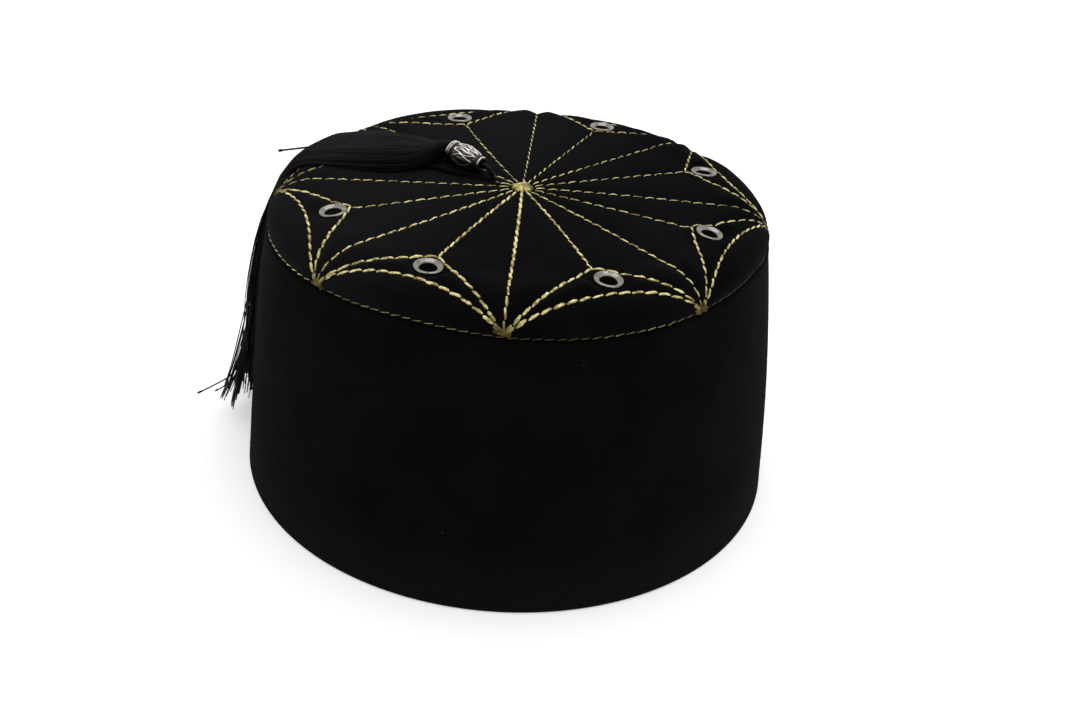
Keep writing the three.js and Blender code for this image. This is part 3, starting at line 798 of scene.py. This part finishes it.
bead_axis = np.array((*(bead_heading[:2] * math.cos(BEAD_TILT)), math.sin(BEAD_TILT)))
bead_side = np.cross((0, 0, 1), bead_heading)
bead_up = np.cross(bead_axis, bead_side)
bead_points = BEAD_START + bead_local @ np.array((bead_side, -bead_up, bead_axis))
bead_faces = [grid_faces(len(bead_along), BEAD_COLUMNS, close_rows=True)]
bead = make_piece("bead_silver", bead_points, bead_faces, "old_silver", ["tassel_bead"])
# Painted shade: the relief is weakened on the underside, so that side stays dark
lit_side = smooth_step(-np.sin(bead_angle + LIT_SIDE_TURN), -0.3, 0.12)
relief = bead_raise * (0.12 + 0.88 * lit_side)
keep(bead, "relief", np.concatenate([relief, np.zeros(inside_shape)]))


def bead_point(along):
    """A point on the bead's middle line."""
    return BEAD_START + bead_axis * along


# %% [markdown]
# ## Tassel cord
# A short twisted cord holds the bead: knotted under the crown, up through its hole, round a
# quarter circle and into the bead. It is one tube with three plies that turn along it, and the
# knot is a tube along a closed trefoil curve, which is what an overhand knot pulled tight looks
# like. At 23 mm it is too short to hang, and it is held at both ends.

# %% Cord and knot
def joined(parts):
    """One set of points and faces from several."""
    starts = np.cumsum([0] + [len(points) for points, _ in parts])
    faces = [face + start for (_, faces), start in zip(parts, starts) for face in faces]
    return np.concatenate([points for points, _ in parts]), faces


CORD_STEPS = 72
CORD_SIDES = 18
CORD_PLIES = 3
CORD_TURNS = 4
KNOT_STEPS = 90
KNOT_SIDES = 10
KNOT_RADIUS = 0.8 * MM
KNOT_SIZE = 0.6 * MM
KNOT_HEIGHT = CROWN_HEIGHT - CROWN_THICKNESS - 2.1 * MM

bend = np.linspace(0, np.pi / 2, 7)[:, None]
bend_start = BEAD_START[2] - CORD_BEND
cord_foot = cord_exit * (1, 1, 0)
bend_points = (cord_foot + bead_heading * CORD_BEND * (1 - np.cos(bend))
               + UPWARDS * (bend_start + CORD_BEND * np.sin(bend)))
rise_points = cord_foot + UPWARDS * np.linspace(KNOT_HEIGHT, bend_start - 1.5 * MM, 4)[:, None]
lead_points = bead_point(np.linspace(CORD_LEAD + 1.5 * MM, 9.6 * MM, 5)[:, None])
cord_path = smooth_path(np.concatenate([rise_points, bend_points, lead_points]), CORD_STEPS)[None]
cord_turn = 2 * np.pi * CORD_TURNS * np.linspace(0, 1, CORD_STEPS)[:, None]
cord_radii = CORD_RADIUS * (0.86 + 0.14 * np.cos(CORD_PLIES * (once_round(CORD_SIDES) - cord_turn)))
turn = once_round(KNOT_STEPS)
knot_path = KNOT_SIZE * round_points(2 + np.cos(3 * turn), 2 * turn, 1.8 * np.sin(3 * turn))
knot_path = np.concatenate([knot_path, knot_path[:2]]) + cord_foot + UPWARDS * KNOT_HEIGHT
sideways = np.broadcast_to(bead_side, cord_path.shape)
cord_piece = make_piece("cord_black", *joined([
    tubes(cord_path, cord_radii, CORD_SIDES, sideways),
    tubes(knot_path[None], KNOT_RADIUS, KNOT_SIDES, UPWARDS)]), "black_thread", ["tassel_cord"])

# %% [markdown]
# ## Tassel strands
# Silky threads leave the bead's cup in a round bundle, spread into a flat fan over the crown, turn
# over the shoulder and hang down the wall, where they part into locks and fray. A hair system
# could comb them, but its curves are no mesh for the export, so each thread is a slim three-sided
# tube. A thread is known by its place across the fan and its layer in the pile: a table gives its
# azimuths, and control points along it are smoothed, all threads at once.

# %% Threads of the tassel
THREAD_RADIUS = 0.2 * MM
THREAD_STEPS = 30
THREAD_SIDES = 3
THREAD_OUTWARD = np.array((0.3, 0.2, 0.9))
THREADS = 800
CLUMPS = 56
# Columns: reach in mm, azimuth of the fan's back edge and of its front edge in degrees, and the
# height over the velvet of the lowest threads and of the pile on them, in mm
FAN = ((39, 140, 171, 1.0, 5.4), (48, 137.5, 174.5, 0.6, 4.2), (57, 140, 175, 0.5, 2.6),
       (66, 145, 174.5, 0.45, 1.4), (74, 149.5, 175, 0.45, 0.9), (80, 151, 176, 0.45, 0.9),
       (86, 151.5, 177.5, 0.5, 1.8))
# Azimuth in degrees and height in mm of the tips, from the back of the fan to its front
TIPS = np.array([(146, 14), (150, 12), (155, 10), (160, 9), (166, 8), (173, 7), (181, 6.3)])
TIP_STRAIGHT = 6 * MM
UNEVEN = 0.025
JOINS_CLUMP = 0.9
# How much higher the tips of inner threads end, how uneven the lengths of clumps and of threads
# are, the limits of the tips' heights, and the least distance from the band, in mm
SHORTER_INSIDE = 10
CLUMP_LENGTHS = 2
THREAD_LENGTHS = 1.6
TIP_RANGE = (1.2, 30)
NEAREST = 0.8
# Place along the bead and radius of the bundle in the cup, in mm
BUNDLE = ((10.4, 2.4), (13.0, 2.8), (16.5, 3.2))
FALL_HEIGHTS = np.array([82, 68, 54, 42, 30, 19]) * MM
# How far the outermost threads hang from the band, in mm, at heights in mm
HANG = np.array([
    (4, 18), (10, 15), (16, 13), (24, 11.3), (31, 10), (38, 8), (56, 7), (80, 4.8), (93, 2.6)])


def tassel_threads(count, low, high):
    """Paths of threads (count, steps, 3) in the layers from low to high of the pile, and the shades
    along them: painted shade darkens the fan's front side, and painted light lightens the threads near
    the bead. In the cup a thread's place and layer are a square laid on a disc; on the hat they give
    its azimuth and its distance from the velvet. Towards the tip it joins its clump's own place and
    layer, and strays by a random walk."""
    place = np.sort(rng.beta(1.4, 1.4, (count, 1)), axis=0)
    layer = rng.uniform(low, high, (count, 1))
    clump = np.floor(place[:, 0] * CLUMPS).astype(int)
    clump_place = ((np.arange(CLUMPS) + rng.uniform(0, 1, CLUMPS)) / CLUMPS)[clump][:, None]
    clump_layer = rng.uniform(low, high, CLUMPS)[clump][:, None]
    clump_shade, clump_long = rng.normal(0, 1, (2, CLUMPS, 1))[:, clump]

    # In the cup
    x, y = 2 * place - 1, 2 * layer - 1
    disc = bead_side * x * np.sqrt(1 - y * y / 2) + bead_up * y * np.sqrt(1 - x * x / 2)
    bundle = [bead_point(along * MM) + disc * spread * MM for along, spread in BUNDLE]

    # Over the crown, where the pile is thin at both edges of the fan
    across = place + rng.normal(0, UNEVEN, (count, 1))
    thin_edge = np.sqrt(np.maximum(1 - x * x, 0.05))
    fan = [on_crown(np.full((count, 1), reach * MM), np.radians(back + across * (front - back)),
                    (stand + pile * layer * thin_edge) * MM)[:, 0]
           for reach, back, front, stand, pile in FAN]

    # Azimuths at the shoulder and at the tip, and heights of the tips
    shoulder_at = FAN[-1][1] + across * (FAN[-1][2] - FAN[-1][1])
    tip_rows = np.linspace(0, 1, len(TIPS))
    end_at = np.interp(place + JOINS_CLUMP * (clump_place - place), tip_rows, TIPS[:, 0])
    tip = np.interp(place, tip_rows, TIPS[:, 1]) + SHORTER_INSIDE * (1 - clump_layer ** 2) ** 1.5
    tip = tip + CLUMP_LENGTHS * clump_long + rng.normal(0, THREAD_LENGTHS, (count, 1))
    tip = np.clip(tip, *TIP_RANGE) * MM

    # Down the wall
    levels = (len(FALL_HEIGHTS) + 1, 2)
    stray = rng.normal(0, 1, (*levels, CLUMPS, 1))[:, :, clump]
    stray = np.cumsum(stray + rng.normal(0, 0.4, (*levels, count, 1)), axis=0)
    fall = []
    for level, (aside, off) in zip([*FALL_HEIGHTS, 0], stray):
        height = np.maximum(level, tip + TIP_STRAIGHT) if level else tip
        down = 1 - height / CROWN_EDGE
        azimuth = shoulder_at + (end_at - shoulder_at) * down + 0.6 * aside * down ** 2
        joins = JOINS_CLUMP * smooth_step(down, 0.3, 0.8)
        depth = (layer + joins * (clump_layer - layer)) ** (1.1 + 0.7 * down)
        hang = np.interp(height / MM, *HANG.T) * (0.45 + 0.55 * place)
        away = NEAREST + (hang - NEAREST) * depth + 0.6 * abs(off) * down ** 3
        fall.append(on_band(height, np.radians(azimuth), away * MM)[:, 0])

    # Shades: painted shade on the front of the fan, painted light near the bead, and random tones
    shade = 0.7 - 0.45 * smooth_step(place, 0.4, 0.85) + 0.2 * clump_shade
    shade = shade + 0.18 * rng.normal(0, 1, (count, 1))
    along = np.linspace(0, 1, THREAD_STEPS)
    in_shadow = smooth_step(place, 0.62, 0.86) * (1 - smooth_step(along, 0.3, 0.45))
    near_bead = 1 - smooth_step(along, 0.12, 0.28)
    shade = np.clip((shade + 0.3 * near_bead) * (1 - 0.75 * in_shadow), 0, 1)
    return smooth_path(np.stack(bundle + fan + fall, axis=1), THREAD_STEPS), shade


def make_strands(name, low, high, replaces=()):
    """Three-sided tubes along threads, slimmer where the cup squeezes them, with their shades kept
    as an attribute."""
    paths, shade = tassel_threads(THREADS, low, high)
    slim = 0.6 + 0.4 * smooth_step(np.linspace(0, 1, THREAD_STEPS), 0.05, 0.3)
    threads = tubes(paths, THREAD_RADIUS * slim[:, None], THREAD_SIDES, THREAD_OUTWARD)
    made = make_piece(name, *threads, "black_thread", replaces)
    keep(made, "shade", np.repeat(shade, THREAD_SIDES))
    return made


strands_under = make_strands("strands_under", 0, 0.5, ["tassel_strands"])
strands_over = make_strands("strands_over", 0.5, 1)

# %% [markdown]
# ## Stray threads
# A few threads have come loose: one stands out over the shoulder, and a few leave the tassel's ends
# sideways. Each is a tube along a few points of its own, and the small knot at its tip is a short
# swelling of the tube. A thin lock has slipped down beside the bead as well, and covers the spoke.

# %% Stray threads
STRAY_STEPS = 24
STRAY_RADII = np.array([0.34, 0.26, 0.24, 0.2, 0.2, 0.2]) * MM
STRAY_SIDES = 6
LOCK_THREADS = 60
LOCK_SIDES = 4
COVERED_SPOKE = 5
# Distance along the covered spoke, how far the lock spreads to its sides and its height, in mm
LOCK = np.array([
    (11, 0.5, 0.4), (17, 1.5, 1.2), (24, 1.8, 1.4), (31, 1.6, 1.3), (36, 2.0, 1.2), (41, 2.6, 1.0)])
# Points in mm, from the tassel outwards
STRAYS = np.array([
    [(-76, 42, 96), (-78, 36, 97.5), (-79.4, 31, 99), (-83.1, 26, 100.1), (-87, 22, 100.8)],
    [(-98, 9, 36), (-101.3, 8, 22), (-104.7, 6, 16.2), (-110.3, 3, 13.2), (-115.9, 0, 11)],
    [(-98, 10, 34), (-101, 9, 22), (-104, 7, 14.5), (-107, 6, 11.5), (-110.4, 4, 9.9)],
    [(-94.5, 9, 60), (-98, 8.5, 46.2), (-101.2, 8, 33), (-104.5, 8, 20.5), (-107.6, 7.5, 10.5)],
    [(-93, 4, 64), (-96.3, 3, 50), (-99.3, 2, 38), (-102.6, 2, 25), (-105.6, 2, 14.5)],
    [(-94, 14, 57), (-98.4, 14, 43), (-102, 14, 30), (-105.2, 13, 18), (-108.4, 12, 7)],
]) * MM
stray_share = np.linspace(0, 1, STRAY_STEPS)
stray_knot = 1 + 1.6 * np.exp(-((stray_share - 0.975) / 0.018) ** 2)
stray_radii = STRAY_RADII[:, None, None] * stray_knot[:, None]
stray_tubes = tubes(smooth_path(STRAYS, STRAY_STEPS), stray_radii, STRAY_SIDES, UPWARDS)
spoke_way = np.exp(1j * np.angle(fork_points[COVERED_SPOKE] - HUB_PLACE))
lock_aside = rng.uniform(-1, 1, (LOCK_THREADS, 1)) + rng.normal(0, 0.2, (LOCK_THREADS, len(LOCK)))
lock_spots = HUB_PLACE + spoke_way * (LOCK[:, 0] + 1j * LOCK[:, 1] * lock_aside) * MM
lock_lift = (0.45 + LOCK[:, 2] * rng.uniform(0, 1, (LOCK_THREADS, 1))) * MM
lock_paths = smooth_path(on_crown(abs(lock_spots), np.angle(lock_spots), lock_lift), STRAY_STEPS)
lock_tubes = tubes(lock_paths, THREAD_RADIUS, LOCK_SIDES, UPWARDS)
strays = make_piece("strands_stray", *joined([stray_tubes, lock_tubes]), "black_thread")

# %% [markdown]
# ## Node groups for the finishes
# Two effects come back in several finishes. Fibre grain is fine noise, for the pile of velvet and
# the filaments of thread: it gives a shade and a height. Tarnish is coarse noise broken by fine
# noise, for metal that has been handled. Each is built once as a group with named sockets.

# %% Helpers for nodes
def add_node(tree, kind, inputs=None, **settings):
    """A new node with its settings, and its inputs given as values or as sockets to link from."""
    made = tree.nodes.new(kind)
    for name, value in settings.items():
        setattr(made, name, value)
    for name, value in (inputs or {}).items():
        if isinstance(value, bpy.types.NodeSocket):
            tree.links.new(value, made.inputs[name])
        else:
            made.inputs[name].default_value = value
    return made


def feed(node, **sockets):
    """Link outputs of other nodes to a node's inputs, given by name. A node's id_data is its tree."""
    for title, output in sockets.items():
        node.id_data.links.new(output, node.inputs[title.replace("_", " ")])


def new_group(name, inputs, outputs):
    """An empty shader node group with float inputs and outputs, and its two end nodes."""
    group = bpy.data.node_groups.new(name, "ShaderNodeTree")
    for title, value in inputs.items():
        socket = group.interface.new_socket(title, in_out="INPUT", socket_type="NodeSocketFloat")
        socket.default_value = value
    for title in outputs:
        group.interface.new_socket(title, in_out="OUTPUT", socket_type="NodeSocketFloat")
    return group, group.nodes.new("NodeGroupInput"), group.nodes.new("NodeGroupOutput")


# %% Fibre grain and tarnish
TARNISH_EDGE = 0.2
fibre_grain, grain_in, grain_out = new_group(
    "fibre_grain", {"Scale": 2000.0, "Patch Scale": 60.0}, ["Height", "Patch"])
grain_place = add_node(fibre_grain, "ShaderNodeTexCoord").outputs["Object"]
grain_fine = add_node(fibre_grain, "ShaderNodeTexNoise", {
    "Vector": grain_place, "Scale": grain_in.outputs["Scale"], "Detail": 3.0, "Roughness": 0.6})
grain_patch = add_node(fibre_grain, "ShaderNodeTexNoise", {
    "Vector": grain_place, "Scale": grain_in.outputs["Patch Scale"], "Detail": 4.0, "Roughness": 0.55})
feed(grain_out, Height=grain_fine.outputs["Fac"], Patch=grain_patch.outputs["Fac"])

tarnish, tarnish_in, tarnish_out = new_group(
    "tarnish", {"Scale": 300.0, "Spread": 0.5}, ["Mask", "Height"])
tarnish_place = add_node(tarnish, "ShaderNodeTexCoord").outputs["Object"]
tarnish_noise = add_node(tarnish, "ShaderNodeTexNoise", {
    "Vector": tarnish_place, "Scale": tarnish_in.outputs["Scale"], "Detail": 6.0, "Roughness": 0.65})
tarnish_edge = add_node(
    tarnish, "ShaderNodeMath", {0: tarnish_in.outputs["Spread"], 1: TARNISH_EDGE}, operation="ADD")
tarnish_mask = add_node(tarnish, "ShaderNodeMapRange", {
    "Value": tarnish_noise.outputs["Fac"], "From Min": tarnish_in.outputs["Spread"],
    "From Max": tarnish_edge.outputs[0]}, interpolation_type="SMOOTHSTEP")
feed(tarnish_out, Mask=tarnish_mask.outputs["Result"], Height=tarnish_noise.outputs["Fac"])
print("groups:", fibre_grain.name, "and", tarnish.name)


# %% Helpers for finishes
def new_finish(name, pieces, **sockets):
    """The Principled shader of a new finish on pieces, with its own sockets set by name."""
    material = bpy.data.materials.new(name)
    material.use_nodes = True
    for made in pieces:
        made.data.materials.clear()
        made.data.materials.append(material)
    shader = material.node_tree.nodes["Principled BSDF"]
    for title, value in sockets.items():
        shader.inputs[title.replace("_", " ")].default_value = value
    return shader


def grain(shader, scale, patch_scale):
    """Fibre grain placed in a shader's tree with its own values: its height and its patches."""
    made = add_node(shader.id_data, "ShaderNodeGroup", {"Scale": scale, "Patch Scale": patch_scale},
                    node_tree=fibre_grain)
    return made.outputs["Height"], made.outputs["Patch"]


def wear(shader, scale, spread):
    """Tarnish placed in a shader's tree with its own values: its mask and its height."""
    made = add_node(shader.id_data, "ShaderNodeGroup", {"Scale": scale, "Spread": spread},
                    node_tree=tarnish)
    return made.outputs["Mask"], made.outputs["Height"]


def attribute(shader, name):
    """A piece's own value for each point, as it was kept."""
    return add_node(shader.id_data, "ShaderNodeAttribute", attribute_name=name).outputs["Fac"]


def mix_colours(mask, first, second):
    """The colour output that goes from the first colour to the second as the mask goes to one."""
    ends = [(*end, 1) if isinstance(end, tuple) else end for end in (first, second)]
    made = add_node(mask.id_data, "ShaderNodeMix", {0: mask, 6: ends[0], 7: ends[1]}, data_type="RGBA")
    return made.outputs[2]


def ramp(value, low, high, to_low=0, to_high=1):
    """A value carried from one range to another, smoothly and without going past its ends."""
    made = add_node(value.id_data, "ShaderNodeMapRange", {
        "Value": value, "From Min": low, "From Max": high, "To Min": to_low, "To Max": to_high},
        interpolation_type="SMOOTHSTEP")
    return made.outputs["Result"]


def bump(height, strength, distance):
    """The normal output of a bump whose full height is a distance in metres."""
    return add_node(height.id_data, "ShaderNodeBump", {
        "Height": height, "Strength": strength, "Distance": distance}).outputs["Normal"]


# %% [markdown]
# ## Velvet
# Black velvet swallows nearly all light that meets it head on, and its upright pile glows faintly
# where it is seen edge on. So the base is almost black, the gloss is almost none, and sheen gives
# the glow. Patches of the pile lie a little differently, and a few specks of lint sit on it. On top,
# painted light makes the crown's nap lighter towards its left and back and the band's towards its
# hem, so each has its own finish from one function.

# %% Velvet finishes
def make_velvet(name, piece, sheen, naps, lighter, heading, low, high):
    """Black velvet with two naps in patches and specks of lint. Painted light takes it to a lighter
    nap as the place along a heading goes from low to high."""
    shader = new_finish(
        name, [piece], Roughness=0.9, Specular_IOR_Level=0.01, Sheen_Weight=sheen, Sheen_Roughness=0.5,
        Sheen_Tint=(0.75, 0.85, 1.0, 1))
    tree = shader.id_data
    place = add_node(tree, "ShaderNodeTexCoord").outputs["Object"]
    along = add_node(tree, "ShaderNodeVectorMath", {0: place, 1: heading}, operation="DOT_PRODUCT")
    height, patch = grain(shader, 2400, 45)
    nap = mix_colours(ramp(patch, 0.35, 0.65), *naps)
    nap = mix_colours(ramp(along.outputs["Value"], low, high), nap, lighter)
    lint = add_node(tree, "ShaderNodeTexVoronoi", {"Vector": place, "Scale": 130})
    lint_near = ramp(lint.outputs["Distance"], 0.025, 0.05, 1, 0)
    lint_kind = add_node(tree, "ShaderNodeSeparateColor", {"Color": lint.outputs["Color"]})
    lint_rare = ramp(lint_kind.outputs["Red"], 0.955, 0.965)
    lint_mask = add_node(tree, "ShaderNodeMath", {0: lint_near, 1: lint_rare}, operation="MULTIPLY")
    feed(shader,
         Base_Color=mix_colours(lint_mask.outputs[0], nap, (0.03, 0.032, 0.035)),
         Normal=bump(height, 0.6, 0.35 * MM))


# Painted light: the crown's nap is lighter towards its left and back, and the band's nap is
# lighter towards its hem, where the floor lights it
make_velvet("velvet", crown, 0.011, ((0.0022, 0.0022, 0.0023), (0.0034, 0.0034, 0.0036)),
            (0.0062, 0.0063, 0.0067), (-0.9, 0.4, 0), -0.02, 0.03)
make_velvet("velvet_band", band, 0.0065, ((0.0026, 0.0026, 0.0027), (0.0038, 0.0038, 0.0040)),
            (0.0058, 0.0059, 0.0062), (0, 0, -1), -0.028, 0.0)
print("velvet on", crown.name, "and", band.name)

# %% [markdown]
# ## Threads
# The tassel is black rayon: smooth filaments with a soft gloss. Its shade attribute holds painted
# shade on the fan's front side, painted light near the bead, and a random tone. The rows on the
# band take a duller black thread. The star's thread is pale gold rayon in lighter and darker
# patches, and brown where its shade attribute holds painted shade: where lines gather in the seam
# and under the tassel's edge, and along the rim line, which painted light keeps bright only at the
# left and front. The forks are also darker at the back right. The piles at the rim points are
# painted dark with the seam's shade, in a dull finish of their own. All take the fibre grain for
# their filaments.

# %% Thread finishes
shader = new_finish("black_thread", [cord_piece, strands_under, strands_over, strays],
                    Specular_IOR_Level=0.09, Sheen_Weight=0.02, Sheen_Tint=(0.8, 0.88, 1.0, 1))
height, patch = grain(shader, 1800, 150)
# Painted shade and light: the shade attribute darkens the fan's front and lightens threads near the bead
feed(shader,
     Base_Color=mix_colours(attribute(shader, "shade"), (0.0003, 0.0003, 0.0003), (0.022, 0.023, 0.025)),
     Roughness=ramp(patch, 0.3, 0.7, 0.36, 0.55),
     Normal=bump(height, 0.3, 0.1 * MM))

shader = new_finish("quilt_thread", [quilt], Specular_IOR_Level=0.02, Roughness=0.7)
height, patch = grain(shader, 1800, 80)
feed(shader, Base_Color=mix_colours(patch, (0.0015, 0.0015, 0.0015), (0.0075, 0.0075, 0.008)))

shader = new_finish("gold_thread", [gold_spokes, gold_forks, gold_rim, gold_hub],
                    Specular_IOR_Level=0.28)
height, patch = grain(shader, 2600, 420)
patches = ramp(patch, 0.36, 0.62)
unshaded_gold = mix_colours(patches, (0.29, 0.22, 0.055), (0.96, 0.84, 0.37))
# Painted shade: the shade attribute takes the gold to dark brown in the seam, under the tassel and on
# the rim line
feed(shader,
     Base_Color=mix_colours(attribute(shader, "shade"), (0.05, 0.034, 0.006), unshaded_gold),
     Roughness=ramp(patch, 0.3, 0.7, 0.5, 0.36),
     Normal=bump(height, 0.5, 0.15 * MM))

# Painted shade of the seam: the piles at the rim points are dark brown, and dull
shader = new_finish("gold_thread_seam_shade", [gold_points], Specular_IOR_Level=0.05, Roughness=0.6)
height, patch = grain(shader, 2600, 420)
patches = ramp(patch, 0.36, 0.62)
feed(shader,
     Base_Color=mix_colours(patches, (0.04, 0.026, 0.005), (0.15, 0.105, 0.024)),
     Normal=bump(height, 0.5, 0.15 * MM))
print("thread finishes made")

# %% [markdown]
# ## Metals
# The eyelets are nickel plate, dulled by handling. The bead is cast old silver: bright where the
# relief is rubbed and brown black in the low places, which the relief attribute gives. The attribute
# also holds painted shade that keeps the bead's underside dark.

# %% Metal finishes
shader = new_finish("nickel", eyelet_pieces, Metallic=1.0)
mask, height = wear(shader, 300, 0.5)
feed(shader,
     Base_Color=mix_colours(mask, (0.275, 0.26, 0.23), (0.128, 0.12, 0.105)),
     Roughness=ramp(mask, 0, 1, 0.14, 0.3),
     Normal=bump(height, 0.12, 0.05 * MM))

shader = new_finish("old_silver", [bead], Metallic=1.0)
mask, height = wear(shader, 700, 0.5)
raised = attribute(shader, "relief")
rubbed = mix_colours(mask, (0.88, 0.85, 0.78), (0.50, 0.47, 0.42))
feed(shader,
     Base_Color=mix_colours(ramp(raised, 0.05, 0.55), (0.035, 0.032, 0.028), rubbed),
     Roughness=ramp(raised, 0.05, 0.6, 0.42, 0.16),
     Normal=bump(height, 0.2, 0.08 * MM))
print("metal finishes made")

# %% [markdown]
# ## Floor and light
# The hat stands on a white sweep under soft light from all round, as in a light tent. A white
# world gives most of it, and one large soft lamp from above gives the stitches and the metal some
# shape. A black card behind the camera takes light off the near side, so that it stays deep black.
# The floor is a sheet far larger than the view, so no edge of it shows.

# %% Floor and light
FLOOR_HALF = 6.0
FLOOR_GLOW = 0.34
CARD_LEFT = -1.1
CARD_RIGHT = 0.6
CARD_AWAY = -1.1
CARD_TOP = 0.9
SKY = 0.9
LAMP_PLACE = Vector((0.1, 0.15, 1.3))
LAMP_AIM = Vector((0, 0, 0.05))
LAMP_SIZE = 1.2
LAMP_WATTS = 4.0


def make_sheet(name, corners):
    """A flat sheet with four corners."""
    mesh = bpy.data.meshes.new(name)
    mesh.from_pydata(corners, [], [(0, 1, 2, 3)])
    return add_object(name, mesh)


floor = make_sheet("floor", [(-FLOOR_HALF, -FLOOR_HALF, 0), (FLOOR_HALF, -FLOOR_HALF, 0),
                             (FLOOR_HALF, FLOOR_HALF, 0), (-FLOOR_HALF, FLOOR_HALF, 0)])
shader = new_finish("floor_paper", [floor], Specular_IOR_Level=0.1, Roughness=0.8,
                    Emission_Color=(1, 1, 1, 1), Emission_Strength=FLOOR_GLOW)
height, patch = grain(shader, 900, 3)
feed(shader, Base_Color=mix_colours(patch, (0.93, 0.93, 0.935), (0.95, 0.95, 0.95)))

card = make_sheet("card", [(CARD_LEFT, CARD_AWAY, 0), (CARD_RIGHT, CARD_AWAY, 0),
                           (CARD_RIGHT, CARD_AWAY, CARD_TOP), (CARD_LEFT, CARD_AWAY, CARD_TOP)])
new_finish("card_black", [card], Base_Color=(0.02, 0.02, 0.02, 1), Specular_IOR_Level=0.1, Roughness=0.8)

world = bpy.data.worlds.new("studio")
world.use_nodes = True
background = world.node_tree.nodes["Background"]
background.inputs["Color"].default_value = (1, 1, 1, 1)
background.inputs["Strength"].default_value = SKY
bpy.context.scene.world = world
lamp_data = bpy.data.lights.new("lamp", "AREA")
lamp_data.shape = "DISK"
lamp_data.size = LAMP_SIZE
lamp_data.energy = LAMP_WATTS
lamp = add_object("lamp", lamp_data)
lamp_turn = (LAMP_AIM - LAMP_PLACE).to_track_quat("-Z", "Y").to_matrix().to_4x4()
lamp.matrix_world = Matrix.Translation(LAMP_PLACE) @ lamp_turn
bpy.context.scene.view_settings.view_transform = "Standard"
print("floor, card, world and lamp set")
